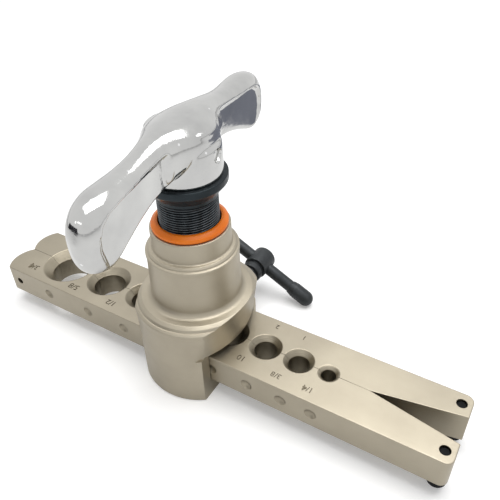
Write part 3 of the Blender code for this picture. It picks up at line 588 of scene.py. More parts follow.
def bar_blank(name, side, material):
    """The half's plate with its edges broken, finely at the parting line and more outside."""
    work = bmesh.new()
    outline = [(APEX_X + x, side * y) for x, y in bar_outline()]
    rim = [work.verts.new((x, y, BAR_UNDERSIDE)) for x, y in outline]
    face = work.faces.new(rim)
    raised = bmesh.ops.extrude_face_region(work, geom=[face])
    tops = [v for v in raised["geom"] if isinstance(v, bmesh.types.BMVert)]
    bmesh.ops.translate(work, vec=(0.0, 0.0, BAR_HEIGHT), verts=tops)
    bmesh.ops.recalc_face_normals(work, faces=work.faces)
    weight = work.edges.layers.float.new("bevel_weight_edge")
    for edge in work.edges:
        if edge.calc_face_angle(0.0) < math.radians(35):
            continue
        near = max(abs(v.co.y) for v in edge.verts) < 4 * PARTING_HALF
        inner = all(v.co.x > APEX_X - MM and abs(v.co.y) < BAR_WIDTH / 4 for v in edge.verts)
        edge[weight] = 0.15 if near else 0.5 if inner else 1.0
    piece = new_piece(name, finished(name, work), material)
    bevel = piece.modifiers.new("edges", "BEVEL")
    bevel.limit_method = "WEIGHT"
    bevel.width = BAR_EDGE
    bevel.segments = 4
    return settle(piece)


def tube_hole(bore, mouth, distance):
    """A bore with its turned 45 degree mouth, both edges broken."""
    bore_radius, mouth_radius = bore / 2, mouth / 2
    depth = mouth_radius - bore_radius
    profile = [
        (0.0, BAR_TOP + 1.2 * MM),
        (mouth_radius + 2.8 * MM, BAR_TOP + 1.0 * MM),
        (mouth_radius - HOLE_LIP, BAR_TOP - HOLE_LIP),
        (bore_radius, BAR_TOP - depth, 0.5 * MM),
        (bore_radius, BAR_UNDERSIDE + 0.4 * MM),
        (bore_radius + 1.4 * MM, BAR_UNDERSIDE - 1.0 * MM),
        (0.0, BAR_UNDERSIDE - 1.0 * MM),
    ]
    # The walls take the darker bore finish: painted shade inside the hole, over real turning marks.
    return turned("tube_hole", eased(profile), BORED_SHADED, (APEX_X - distance, 0.0, 0.0), steps=FINE)


def dimple(x):
    """A shallow round rest in the front side for the detent ball."""
    ball = (DIMPLE_RADIUS**2 + DIMPLE_DEPTH**2) / (2 * DIMPLE_DEPTH)
    profile = arc((0.0, 0.0), ball, 90, -90, 48)
    where = (x, DIMPLE_DEPTH - BAR_WIDTH / 2 - ball, PIN_LINE)
    # The dimple takes the darker bore finish: painted shade in its hollow.
    return turned("dimple", profile, BORED_SHADED, where, steps=MEDIUM)


def engraving(words, x, y, height):
    """A cutter for stamped digits that read from the bar's rear side."""
    where = (x, y, BAR_TOP)
    half_turn = Matrix.Rotation(math.pi, 4, "Z")
    text = bpy.data.curves.new("digits", "FONT")
    text.body = words
    text.align_x = "CENTER"
    text.align_y = "CENTER"
    text.size = height * FONT_SIZE
    text.extrude = ENGRAVING_DEPTH
    text.offset = height * STROKE_GROWTH
    text.resolution_u = 3
    holder = bpy.data.objects.new("digits", text)
    bpy.context.scene.collection.objects.link(holder)
    holder.matrix_world = Matrix.Translation(where) @ half_turn
    bpy.context.view_layer.update()
    graph = bpy.context.evaluated_depsgraph_get()
    mesh = bpy.data.meshes.new_from_object(holder.evaluated_get(graph))
    work = bmesh.new()
    work.from_mesh(mesh)
    bmesh.ops.remove_doubles(work, verts=work.verts, dist=0.000002)
    bmesh.ops.recalc_face_normals(work, faces=work.faces)
    work.to_mesh(mesh)
    work.free()
    mesh.materials.clear()
    bpy.data.objects.remove(holder, do_unlink=True)
    # The strokes take the much darker engraved finish: painted shade in the grooves.
    return new_piece("digits_cut", mesh, ENGRAVED_SHADED, where, half_turn)


def bar_half(name, side, nodes, body):
    """Half of the bar, in front with side -1 and behind with side 1."""
    piece = bar_blank(name, side, BAR_NICKEL)
    # Every cutter carries the darker bore finish onto the walls it leaves: painted shade in the
    # holes and dimples.
    cutters = [tube_hole(*sizes) for sizes in TUBE_HOLES]
    pin_radius = FRONT_PIN_HOLE if side < 0 else REAR_PIN_HOLE
    for x, reach in ((END_PIN_X, BAR_WIDTH), (MID_PIN_X, MID_PIN_REACH)):
        where = (x, 0.0, PIN_LINE)
        cutters.append(rod("pin_hole", pin_radius, -reach, reach, BORED_SHADED, where, ALONG_Y))
    stud_profile = [
        (0.0, BAR_TOP + 1.0 * MM),
        (STUD_HOLE + 1.1 * MM, BAR_TOP + 1.0 * MM),
        (STUD_HOLE, BAR_TOP - 0.1 * MM),
        (STUD_HOLE, BAR_UNDERSIDE - 1.0 * MM),
        (0.0, BAR_UNDERSIDE - 1.0 * MM),
    ]
    cutters.append(
        turned("stud_hole", stud_profile, BORED_SHADED, (STUD_X, side * STUD_OFFSET, 0.0), steps=MEDIUM)
    )
    if side < 0:
        cutters += [dimple(APEX_X - distance) for _, _, distance in TUBE_HOLES]
    combine(piece, cutters)
    marks = [engraving(*mark[:4]) for mark in SIZE_MARKS if mark[4] == side]
    combine(piece, marks)
    soften(piece.data)
    weighted = piece.modifiers.new("flats", "WEIGHTED_NORMAL")
    weighted.keep_sharp = True
    return declare(piece, body, nodes)


def stop_stud(name, side, node, body):
    """A black stud: stem up through the bar, round foot below."""
    head_top = BAR_UNDERSIDE - 0.3 * MM
    head_bottom = head_top - STUD_FOOT_HEIGHT
    profile = [
        (0.0, BAR_TOP - 1.05 * MM),
        (STUD_STEM, BAR_TOP - 1.0 * MM, 0.2 * MM),
        (STUD_STEM, head_top),
        (STUD_FOOT, head_top, 0.3 * MM),
        (STUD_FOOT, head_bottom, 1.1 * MM),
        (0.0, head_bottom),
    ]
    where = (STUD_X, side * STUD_OFFSET, 0.0)
    piece = turned(name, eased(profile), STUD_BLACK, where, steps=MEDIUM)
    return declare(piece, body, [node])


# Yoke


def yoke_profile():
    """The turned outline: chamber and seat inside, neck, beads, drum and shoulder outside."""
    chamber_floor = BAR_UNDERSIDE + BAR_HEIGHT / 2
    neck_foot = DRUM_TOP + 3.1 * MM
    inside = [
        (0.0, chamber_floor),
        (CHAMBER_RADIUS, chamber_floor),
        (CHAMBER_RADIUS, NUT_BOTTOM),
        (NUT_RADIUS + 0.2 * MM, NUT_BOTTOM),
        (NUT_RADIUS + 0.2 * MM, SEAT_FLOOR),
        (SEAT_RADIUS, SEAT_FLOOR),
        (SEAT_RADIUS, NECK_TOP),
    ]
    outside = [
        (NECK_RADIUS, NECK_TOP, 0.6 * MM),
        (NECK_RADIUS, neck_foot, 0.8 * MM),
        (NECK_RADIUS + 1.4 * MM, neck_foot - 0.3 * MM, 0.4 * MM),
        (NECK_RADIUS + 2.1 * MM, neck_foot - 1.0 * MM, 0.4 * MM),
        (NECK_RADIUS + 2.2 * MM, neck_foot - 1.7 * MM, 0.15 * MM),
        (DRUM_RADIUS - 0.6 * MM, DRUM_TOP + 1.3 * MM, 0.1 * MM),
        (DRUM_RADIUS, DRUM_TOP + 1.0 * MM, 0.4 * MM),
        (DRUM_RADIUS, DRUM_TOP - 0.3 * MM, 0.3 * MM),
        (DRUM_RADIUS - 0.35 * MM, DRUM_TOP - 0.6 * MM, 0.1 * MM),
        (DRUM_RADIUS - 0.3 * MM, DRUM_TOP - 2.0 * MM, 0.6 * MM),
        (DRUM_RADIUS, SHOULDER_TOP + 6.0 * MM, 2.0 * MM),
    ]
    foot = arc((DRUM_RADIUS + 2.8 * MM, SHOULDER_TOP + 2.8 * MM), 2.8 * MM, 180, 265, 12)
    shoulder = [
        (BASE_RADIUS - 3.7 * MM, SHOULDER_TOP - 0.3 * MM, 1.2 * MM),
        (BASE_RADIUS - 2.1 * MM, SHOULDER_TOP - 1.3 * MM, 0.9 * MM),
        (BASE_RADIUS - 1.6 * MM, SHOULDER_TOP - 2.4 * MM, 0.2 * MM),
        (BASE_RADIUS - 1.0 * MM, SHOULDER_TOP - 2.5 * MM, 0.2 * MM),
        (BASE_RADIUS, BASE_TOP + 1.0 * MM, 0.8 * MM),
        (BASE_RADIUS, BASE_TOP - 0.7 * MM, 0.3 * MM),
        (BASE_RADIUS - 0.35 * MM, BASE_TOP - 1.1 * MM, 0.1 * MM),
        (BASE_RADIUS - 0.25 * MM, BASE_TOP - 3.0 * MM, 0.8 * MM),
        (BASE_RADIUS - 0.1 * MM, 6.0 * MM, 2.0 * MM),
        (BASE_RADIUS - 0.1 * MM, 0.0, 1.0 * MM),
        (0.0, 0.0),
    ]
    return eased(inside + outside + foot + shoulder, count=6)


def side_face(side):
    """The side cut that leaves the base a shallow arc, leaning in towards the bar."""
    outside = ARCH_RADIUS + BASE_RADIUS
    top = SHOULDER_TOP + 1.0 * MM
    bottom = ARCH_UNDERSIDE - 1.0 * MM
    lean = (top - bottom) * math.tan(ARCH_LEAN)
    profile = [
        (ARCH_RADIUS, top),
        (outside, top),
        (outside, bottom),
        (ARCH_RADIUS - lean, bottom),
    ]
    where = (YOKE_X + side * (ARCH_REACH - ARCH_RADIUS), 0.0, 0.0)
    return turned("side_face", profile, None, where, steps=256, closed=True)


def clamp_boss(where):
    profile = [
        (0.0, BOSS_END),
        (BOSS_RADIUS, BOSS_END, 0.8 * MM),
        (BOSS_RADIUS, BOSS_START),
        (0.0, BOSS_START),
    ]
    return turned("boss", eased(profile), YOKE_NICKEL, where, ALONG_Y, steps=MEDIUM)


def clamp_bore(where):
    profile = [
        (0.0, BOSS_END + MM),
        (CLAMP_BORE, BOSS_END + MM),
        (CLAMP_BORE, PAD_BORE_END),
        (PAD_BORE, PAD_BORE_END),
        (PAD_BORE, BOSS_START - 2.0 * MM),
        (0.0, BOSS_START - 2.0 * MM),
    ]
    return turned("clamp_bore", profile, None, where, ALONG_Y, steps=MEDIUM)


def yoke():
    """The yoke: a turned body, cut to arcs at its sides and open for bar and tube below."""
    where = (YOKE_X, 0.0, 0.0)
    piece = turned("yoke_casting", yoke_profile(), YOKE_NICKEL, where, steps=YOKE_STEPS)
    clamp_line = (YOKE_X, 0.0, CLAMP_HEIGHT)
    combine(piece, [clamp_boss(clamp_line)], "UNION")
    past = BASE_RADIUS + 2.0 * MM
    left, right = YOKE_X - past, YOKE_X + past
    detent_line = (YOKE_X, 0.0, PIN_LINE)
    cutters = [
        rod("detent_bore", DETENT_BORE, -26.8 * MM, -16.8 * MM, None, detent_line, ALONG_Y),
        clamp_bore(clamp_line),
        block("slot", (left, -SLOT_FRONT, SLOT_BOTTOM), (right, SLOT_REAR, SLOT_TOP)),
        block("passage", (left, -PASSAGE_HALF, -MM), (right, PASSAGE_HALF, SLOT_BOTTOM + MM)),
    ]
    for side in (-1, 1):
        near = YOKE_X + side * HOOK_HALF
        far = YOKE_X + side * past
        low = (min(near, far), -past, -MM)
        cutters.append(side_face(side))
        cutters.append(block("hook", low, (max(near, far), past, ARCH_UNDERSIDE)))
    combine(piece, cutters)
    piece.data.materials.clear()
    piece.data.materials.append(YOKE_NICKEL)
    soften(piece.data, 26)
    return declare(piece, "yoke", ["yoke_body"])


# Feed screw, wiper ring, collar and cone


def thread_relief(pitch, depth, low, high, starts=1):
    """The radius of a rounded thread between two heights, with one or more starts."""
    crest, flank = 0.12, 0.76

    def radius_at(angle, radius, height):
        if not low <= height <= high:
            return radius
        turn = (height / pitch - starts * angle / (2 * math.pi)) % 1.0
        valley = abs(2 * turn - 1)
        runout = min(1.0, (high - height) / pitch, (height - low) / pitch)
        shape = min(1.0, max(0.0, (valley - crest) / flank))
        return radius - depth * shape * shape * (3 - 2 * shape) * runout

    return radius_at


def threaded_rows(radius, high, low, pitch, samples=9):
    """Profile points close enough to carry a thread."""
    count = int((high - low) / pitch * samples)
    return [(radius, high + (low - high) * i / count) for i in range(count + 1)]


def holder_bore():
    """The ball's seat, the sleeve's bore and the retaining ring's groove, from the top down."""
    ball_seat = 2.8 * MM
    groove = 7.5 * MM
    return [
        (0.0, 56.2 * MM),
        (1.75 * MM, 55.8 * MM),
        (ball_seat, 53.7 * MM),
        (ball_seat, HOLDER_TOP - 0.2 * MM),
        (SLEEVE_BORE, HOLDER_TOP - 0.2 * MM),
        (SLEEVE_BORE, SLEEVE_BOTTOM),
        (groove, SLEEVE_BOTTOM),
        (groove, 44.3 * MM),
        (SLEEVE_BORE, 44.3 * MM),
        (SLEEVE_BORE, HOLDER_BOTTOM - MM),
        (0.0, HOLDER_BOTTOM - MM),
    ]


def feed_screw():
    profile = [
        (0.0, SPINDLE_TOP),
        (SPINDLE_RADIUS - MM, SPINDLE_TOP),
        (SPINDLE_RADIUS, SPINDLE_TOP - MM),
        (SPINDLE_RADIUS, THREAD_END),
        (THREAD_RADIUS - 0.7 * MM, THREAD_END),
    ]
    pitch = THREAD_LEAD / THREAD_STARTS
    top = THREAD_END - 0.5 * MM
    profile += threaded_rows(THREAD_RADIUS, top, THREAD_START, pitch)
    profile += eased(
        [
            (THREAD_RADIUS, HOLDER_TOP),
            (HOLDER_RADIUS, HOLDER_TOP, 0.8 * MM),
            (HOLDER_RADIUS, HOLDER_BOTTOM, 0.8 * MM),
            (0.0, HOLDER_BOTTOM),
        ]
    )
    relief = thread_relief(pitch, THREAD_DEPTH, THREAD_START + 0.1 * MM, top, THREAD_STARTS)
    piece = turned(
        "feed_screw_thread", profile, THREAD_BLACK, (YOKE_X, 0.0, 0.0), steps=96, relief=relief
    )
    pin_where = (YOKE_X, 0.0, HANDLE_PIN_HEIGHT)
    pin_turn = Matrix.Rotation(HANDLE_TURN, 4, "Z") @ ALONG_X
    reach = 12.0 * MM
    cutters = [
        turned("holder_bore", holder_bore(), BLACK_OXIDE, CONE_AXIS, steps=MEDIUM),
        rod("pin_bore", HANDLE_PIN_HOLE, -reach, reach, BLACK_OXIDE, pin_where, pin_turn),
    ]
    combine(piece, cutters)
    soften(piece.data, 40)
    return declare(piece, "feed", ["feed_screw"])


def wiper_ring():
    profile = [
        (RING_BORE, RING_TOP - 0.1 * MM, 0.4 * MM),
        (RING_BORE + 1.2 * MM, RING_TOP, 1.2 * MM),
        (RING_RADIUS, RING_TOP - 1.4 * MM, 1.0 * MM),
        (RING_RADIUS - 0.1 * MM, NECK_TOP + 0.3 * MM, 0.25 * MM),
        (SEAT_RADIUS - 0.3 * MM, NECK_TOP + 0.3 * MM),
        (SEAT_RADIUS - 0.3 * MM, SEAT_FLOOR + 0.3 * MM),
        (RING_BORE, SEAT_FLOOR + 0.3 * MM),
    ]
    piece = turned(
        "wiper_ring_lip", eased(profile, True), ORANGE, (YOKE_X, 0.0, 0.0), closed=True
    )
    return declare(piece, "ring", ["wiper_ring"])


def stop_collar():
    profile = [
        (COLLAR_BORE, HUB_BOTTOM + 0.5 * MM),
        (COLLAR_RADIUS, HUB_BOTTOM - 0.2 * MM, 0.4 * MM),
        (COLLAR_RADIUS, HUB_BOTTOM - 3.2 * MM, 1.0 * MM),
        (THREAD_RADIUS + 0.4 * MM, COLLAR_FOOT + 1.4 * MM, 0.6 * MM),
        (THREAD_RADIUS + 0.3 * MM, COLLAR_FOOT, 0.2 * MM),
        (COLLAR_BORE, COLLAR_FOOT),
    ]
    piece = turned(
        "stop_collar_skirt", eased(profile, True), BLACK_OXIDE, (YOKE_X, 0.0, 0.0), closed=True
    )
    return declare(piece, "feed", ["stop_collar"])


def flare_cone():
    stem, neck = 5.0 * MM, 4.3 * MM
    stem_top = HOLDER_TOP - 0.8 * MM
    profile = [
        (0.0, stem_top),
        (stem, stem_top, 0.5 * MM),
        (stem, SLEEVE_BOTTOM),
        (neck, SLEEVE_BOTTOM),
        (neck, CONE_RIM),
        (CONE_RADIUS, CONE_RIM, 0.4 * MM),
        (CONE_RADIUS, CONE_APEX + CONE_RADIUS, 0.3 * MM),
        (1.2 * MM, CONE_APEX + 1.2 * MM, 0.8 * MM),
        (0.0, CONE_APEX + 0.75 * MM),
    ]
    piece = turned("flare_cone_polished", eased(profile), BRIGHT_STEEL, CONE_AXIS)
    return declare(piece, "cone", ["flare_cone"])


# Handle


def smooth_between(stations, along):
    """The values at a distance along a list of stations, on a curve through them."""
    index = max(i for i, station in enumerate(stations[:-1]) if station[0] <= along)
    low, high = stations[index], stations[index + 1]
    before = stations[max(index - 1, 0)]
    after = stations[min(index + 2, len(stations) - 1)]
    span = high[0] - low[0]
    t = (along - low[0]) / span
    values = []
    for p0, p1, p2, p3 in zip(before[1:], low[1:], high[1:], after[1:]):
        rise_low = (p2 - p0) / (high[0] - before[0]) * span
        rise_high = (p3 - p1) / (after[0] - low[0]) * span
        cubic = 2 * p1 - 2 * p2 + rise_low + rise_high
        square = 3 * (p2 - p1) - 2 * rise_low - rise_high
        values.append(((cubic * t + square) * t + rise_low) * t + p1)
    return values


def inside_distance(point, outline):
    """How far a point is inside a closed outline, less than nothing outside it."""
    x, y = point
    nearest = 1e9
    inside = False
    for (ax, ay), (bx, by) in zip(outline, outline[1:] + outline[:1]):
        if (ay > y) != (by > y) and x < (bx - ax) * (y - ay) / (by - ay) + ax:
            inside = not inside
        dx, dy = bx - ax, by - ay
        t = max(0.0, min(1.0, ((x - ax) * dx + (y - ay) * dy) / (dx * dx + dy * dy)))
        nearest = min(nearest, math.hypot(x - ax - t * dx, y - ay - t * dy))
    return nearest if inside else -nearest


def handle_arms():
    """Both arms from tip to tip in oval sections, with the webs sunk in under the rims."""
    # Millimetres: distance out, drop of the top, drop of the underside and half width
    arm = [
        (0.0, 0.0, 16.6, 13.8),
        (8.0, 0.0, 17.2, 12.2),
        (14.0, 0.2, 18.4, 9.4),
        (20.0, 0.9, 19.6, 7.4),
        (28.0, 2.3, 20.8, 6.8),
        (36.0, 3.2, 22.7, 7.6),
        (44.0, 3.2, 25.6, 8.6),
        (50.0, 3.0, 28.2, 8.8),
        (55.0, 3.6, 29.4, 7.9),
        (59.0, 5.2, 28.4, 6.4),
        (62.2, 8.4, 25.6, 4.4),
        (ARM_LENGTH / MM, 14.0, 19.6, 1.4),
    ]
    # The sunk side's outline: distance out and drop from the handle's top
    web = [
        (19.0, 5.0),
        (28.0, 5.8),
        (38.0, 6.6),
        (48.0, 7.0),
        (53.0, 7.9),
        (56.8, 10.4),
        (58.8, 14.4),
        (59.2, 18.6),
        (58.2, 23.0),
        (55.4, 32.0),
        (19.0, 32.0),
    ]
    stations = [(-out, *rest) for out, *rest in reversed(arm[1:])] + arm
    tip = ARM_LENGTH / MM
    rows = 90
    around = 96
    squareness = 0.85
    rim_start, rim_width = 0.3, 1.6
    web_half = WEB_HALF / MM
    work = bmesh.new()
    rings = []
    for row in range(-rows, rows + 1):
        out = tip * math.sin(math.pi / 2 * row / rows)
        limit = tip * 0.99995
        top, bottom, half = smooth_between(stations, max(-limit, min(limit, out)))
        ring = []
        for i in range(around):
            angle = 2 * math.pi * i / around
            across = math.copysign(abs(math.sin(angle)) ** squareness, math.sin(angle)) * half
            up = math.copysign(abs(math.cos(angle)) ** squareness, math.cos(angle))
            drop = (top + bottom) / 2 - up * (bottom - top) / 2
            depth = inside_distance((abs(out), drop), web)
            sunk = max(0.0, min(1.0, (depth + rim_start) / rim_width))
            sunk = sunk * sunk * (3 - 2 * sunk)
            beyond = abs(across) - web_half
            if beyond > 0.0:
                across = math.copysign(abs(across) - beyond * sunk, across)
            ring.append(work.verts.new((across * MM, out * MM, HUB_TOP - drop * MM)))
        rings.append(ring)
    for first, second in zip(rings, rings[1:]):
        for i in range(around):
            j = (i + 1) % around
            work.faces.new((first[i], second[i], second[j], first[j]))
    work.faces.new(rings[0])
    work.faces.new(list(reversed(rings[-1])))
    bmesh.ops.recalc_face_normals(work, faces=work.faces)
    return finished("handle_arms", work)


def handle():
    """The cast T handle, chromed."""
    turn = Matrix.Rotation(HANDLE_TURN, 4, "Z")
    piece = new_piece("handle_casting", handle_arms(), CHROME, (YOKE_X, 0.0, 0.0), turn)
    hub_profile = [
        (0.0, HUB_TOP - 3.0 * MM),
        (HUB_WAIST, HUB_TOP - 3.0 * MM, 2.0 * MM),
        (HUB_WAIST, HUB_TOP - 8.5 * MM, 2.0 * MM),
        (HUB_RADIUS - 0.2 * MM, HUB_TOP - 10.8 * MM, 1.5 * MM),
        (HUB_RADIUS, HUB_TOP - 14.0 * MM),
        (HUB_RADIUS, HUB_BOTTOM, 0.4 * MM),
        (0.0, HUB_BOTTOM),
    ]
    hub = turned("hub", eased(hub_profile), CHROME, (YOKE_X, 0.0, 0.0), steps=MEDIUM * 2)
    combine(piece, [hub], "UNION")
    cast_skin(piece, SKIN_CELL, SKIN_PASSES)
    pin_turn = turn @ ALONG_X
    pin_where = (YOKE_X, 0.0, HANDLE_PIN_HEIGHT)
    mouth, reach, straight = 5.4 * MM, 18.0 * MM, 14.4 * MM
    countersink = [
        (0.0, reach),
        (mouth, reach),
        (HANDLE_PIN_HOLE, straight),
        (HANDLE_PIN_HOLE, -straight),
        (mouth, -reach),
        (0.0, -reach),
    ]
    spindle_bore = [
        (0.0, SPINDLE_TOP + 0.3 * MM),
        (COLLAR_BORE, SPINDLE_TOP + 0.3 * MM),
        (COLLAR_BORE, HUB_BOTTOM + 0.5 * MM),
        (COLLAR_BORE + 1.7 * MM, HUB_BOTTOM - 1.2 * MM),
        (0.0, HUB_BOTTOM - 1.2 * MM),
    ]
    cutters = [
        turned("spindle_bore", spindle_bore, CHROME, (YOKE_X, 0.0, 0.0), steps=MEDIUM),
        turned("pin_hole", countersink, CHROME, pin_where, pin_turn, steps=MEDIUM),
    ]
    combine(piece, cutters)
    soften(piece.data, 50)
    return declare(piece, "feed", ["handle"])


# Clamp screw and tommy bar


def tommy_turn():
    """The lie of the rod in the clamp screw's head."""
    return Matrix.Rotation(math.pi / 2 + TOMMY_ANGLE, 4, "Y")


def clamp_screw():
    """The clamp's screw, from its cross-drilled head to its nose."""
    thread_high, thread_low = FLANGE_START - 0.5 * MM, 22.0 * MM
    head = [
        (0.0, HEAD_END),
        (HEAD_RADIUS, HEAD_END, 1.2 * MM),
        (HEAD_RADIUS, HEAD_START, 0.5 * MM),
        (GROOVE_RADIUS, HEAD_START, 0.2 * MM),
        (GROOVE_RADIUS, FLANGE_END, 0.2 * MM),
        (FLANGE_RADIUS, FLANGE_END, 0.4 * MM),
        (FLANGE_RADIUS, FLANGE_START, 0.8 * MM),
        (SHANK_RADIUS, FLANGE_START),
    ]
    nose = [
        (SHANK_RADIUS, SHANK_END),
        (NOSE_RADIUS, SHANK_END),
        (NOSE_RADIUS, SHANK_END - 1.2 * MM),
        (0.0, SHANK_END - 1.2 * MM),
    ]
    thread = threaded_rows(SHANK_RADIUS, thread_high, thread_low, CLAMP_PITCH)
    piece = turned(
        "clamp_screw_head",
        eased(head) + thread + nose,
        BLACK_MATT,
        (YOKE_X, 0.0, CLAMP_HEIGHT),
        ALONG_Y,
        steps=MEDIUM,
        relief=thread_relief(CLAMP_PITCH, CLAMP_THREAD_DEPTH, thread_low, thread_high),
    )
    mouth, reach, straight = 4.9 * MM, 8.0 * MM, 5.6 * MM
    hole_profile = [
        (0.0, reach),
        (mouth, reach),
        (TOMMY_HOLE, straight),
        (TOMMY_HOLE, -straight),
        (mouth, -reach),
        (0.0, -reach),
    ]
    where = (YOKE_X, TOMMY_Y, CLAMP_HEIGHT)
    cross_hole = turned("cross_hole", hole_profile, BLACK_MATT, where, tommy_turn(), steps=MEDIUM)
    combine(piece, [cross_hole])
    soften(piece.data, 40)
    return declare(piece, "clamp", ["clamp_screw"])


def tommy_pieces():
    """The rod through the clamp screw's head and its two caps."""
    where = (YOKE_X, TOMMY_Y, CLAMP_HEIGHT)
    rod_profile = [
        (0.0, TENON_END),
        (TENON_RADIUS, TENON_END, 0.3 * MM),
        (TENON_RADIUS, TENON_START),
        (TOMMY_RADIUS, TENON_START, 0.2 * MM),
        (TOMMY_RADIUS, -TENON_START, 0.2 * MM),
        (TENON_RADIUS, -TENON_START),
        (TENON_RADIUS, -TENON_END, 0.3 * MM),
        (0.0, -TENON_END),
    ]
    bar = turned("tommy_rod", eased(rod_profile), BLACK_MATT, where, tommy_turn(), steps=MEDIUM)
    declare(bar, "tommy", ["tommy_bar"])
    dome = KNOB_END - KNOB_RADIUS
    cap = arc((0.0, dome), KNOB_RADIUS, 90, 0, 12)
    cap[0] = (0.0, KNOB_END)
    body = eased(
        [
            (KNOB_RADIUS, dome - MM),
            (KNOB_RADIUS, KNOB_START + 3.0 * MM, 2.5 * MM),
            (KNOB_NECK + 0.05 * MM, KNOB_START + 0.1 * MM, 0.3 * MM),
            (KNOB_NECK, KNOB_START),
            (KNOB_NECK, TENON_START + 0.3 * MM),
            (TENON_RADIUS + 0.3 * MM, TENON_START + 0.3 * MM),
            (TENON_RADIUS + 0.3 * MM, TENON_END + 0.3 * MM),
            (0.0, TENON_END + 0.3 * MM),
        ]
    )
    for node, half_turn in (("lower_tommy_knob", 0.0), ("upper_tommy_knob", math.pi)):
        turn = tommy_turn() @ Matrix.Rotation(half_turn, 4, "Y")
        knob = turned(node + "_cap", cap + body, BLACK_MATT, where, turn, steps=MEDIUM)
        declare(knob, "tommy", [node])


# Table, room, light and camera


def table():
    """A white table top, lifted a little towards white where the camera sees it."""
    material, tree, shader = new_material("white_table")
    plating = plated(tree, 400.0, 3.0)
    tone = spread(tree, plating.outputs["Tone"], 0.0, 1.0)
    colour = two_tone(tree, tone, (0.88, 0.88, 0.88, 1.0), (0.91, 0.91, 0.91, 1.0))
    tree.links.new(colour, shader.inputs["Base Color"])
    shader.inputs["Roughness"].default_value = 0.7
    shader.inputs["Specular IOR Level"].default_value = 0.2
    path = add_node(tree, "ShaderNodeLightPath")
    lift = add_node(
        tree, "ShaderNodeMapRange", {"Value": path.outputs["Is Camera Ray"], "To Max": 0.2}
    )
    shader.inputs["Emission Color"].default_value = (1.0, 1.0, 1.0, 1.0)
    tree.links.new(lift.outputs[0], shader.inputs["Emission Strength"])
    work = bmesh.new()
    bmesh.ops.create_grid(work, x_segments=8, y_segments=8, size=4.0)
    new_piece("table", finished("table", work), material)


def room():
    """A pale room: full white where it is seen or mirrored, half as strong where it lights."""
    bpy.context.scene.view_settings.view_transform = "Standard"
    world = bpy.data.worlds.new("pale_room")
    bpy.context.scene.world = world
    world.use_nodes = True
    nodes = world.node_tree
    back = nodes.nodes["Background"]
    back.inputs["Color"].default_value = (1.0, 1.0, 1.0, 1.0)
    path = add_node(nodes, "ShaderNodeLightPath")
    seen = path.outputs["Is Camera Ray"]
    for kind in ("Is Glossy Ray", "Is Transmission Ray"):
        either = add_node(
            nodes, "ShaderNodeMath", {0: seen, 1: path.outputs[kind]}, operation="MAXIMUM"
        )
        seen = either.outputs[0]
    level = add_node(nodes, "ShaderNodeMapRange", {"Value": seen, "To Min": 0.5, "To Max": 1.0})
    nodes.links.new(level.outputs[0], back.inputs["Strength"])


def lights():
    """A wide lamp above, two small ones in front, and a wall and a mat for reflections."""
    lamp("ceiling", (0.06, 0.14, 1.18), (0.0, 0.0, 0.02), 1.0, 1.0, 12.5)
    lamp("window", (-0.36, -0.80, 0.62), (0.0, 0.0, 0.08), 0.04, 0.1, 0.06)
    lamp("front_sky", (0.06, -0.84, 0.72), (0.06, 0.0, 0.02), 0.5, 0.1, 0.3)
    dark = (0.02, 0.02, 0.025, 1.0)
    board("dark_wall", (-0.5, -0.82, 0.15), (0.0, 0.0, 0.1), 0.9, 0.3, dark)
    grey = (0.17, 0.18, 0.22, 1.0)
    board("grey_mat", (0.12, 0.36, 0.002), (0.12, 0.36, 1.0), 0.4, 0.24, grey)


def facing(where, target):
    """A place whose front looks at a target."""
    aim = Vector(target) - Vector(where)
    return Matrix.Translation(where) @ aim.to_track_quat("-Z", "Y").to_matrix().to_4x4()


def lamp(name, where, target, width, height, power):
    light = bpy.data.lights.new(name, "AREA")
    light.shape = "RECTANGLE"
    light.size = width
    light.size_y = height
    light.energy = power
    obj = bpy.data.objects.new(name, light)
    bpy.context.scene.collection.objects.link(obj)
    obj.matrix_world = facing(where, target)


def board(name, where, target, width, height, colour):
    """A board that only reflections see."""
    material, _, shader = new_material(name)
    shader.inputs["Base Color"].default_value = colour
    shader.inputs["Roughness"].default_value = 0.9
    work = bmesh.new()
    bmesh.ops.create_grid(work, x_segments=2, y_segments=2, size=0.5)
    bmesh.ops.scale(work, vec=(width, height, 1.0), verts=work.verts)
    sheet = new_piece(name, finished(name, work), material)
    sheet.matrix_world = facing(where, target)
    sheet.visible_camera = False
    sheet.visible_diffuse = False
    sheet.visible_shadow = False


def camera():
    """The photo's camera, solved from the bar's straight edges and its holes."""
    data = bpy.data.cameras.new("camera")
    data.lens = 40.87
    data.sensor_width = 36.0
    data.clip_start = 0.01
    data.clip_end = 20.0
    obj = bpy.data.objects.new("camera", data)
    bpy.context.scene.collection.objects.link(obj)
    right = Vector((0.86023, 0.50935, -0.02362))
    down = Vector((0.29758, -0.53911, -0.78791))
    ahead = Vector((-0.41405, 0.67076, -0.61534))
    turn = Matrix((right, -down, -ahead)).transposed().to_4x4()
    obj.matrix_world = Matrix.Translation((0.11696, -0.14973, 0.21332)) @ turn
    bpy.context.scene.camera = obj


def dress_nodes():
    """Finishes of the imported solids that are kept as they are."""
    finishes = {
        "end_guide_pin": BRIGHT_STEEL,
        "mid_guide_pin": BRIGHT_STEEL,
        "detent_ball": BRIGHT_STEEL,
        "detent_spring": SPRING_STEEL,
        "clamp_pad": BLACK_OXIDE,
        "needle_sleeve": BRIGHT_STEEL,
        "thrust_ball": BRIGHT_STEEL,
        "cone_snap_ring": SPRING_STEEL,
        "handle_pin": BRIGHT_STEEL,
    }
    for node, material in finishes.items():
        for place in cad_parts[node].material_slots:
            place.material = material


PLATING = plating_group()
TOOL_MARKS = tool_mark_group()
EDGE_WEAR_AND_SHEEN = edge_wear_and_sheen_group()

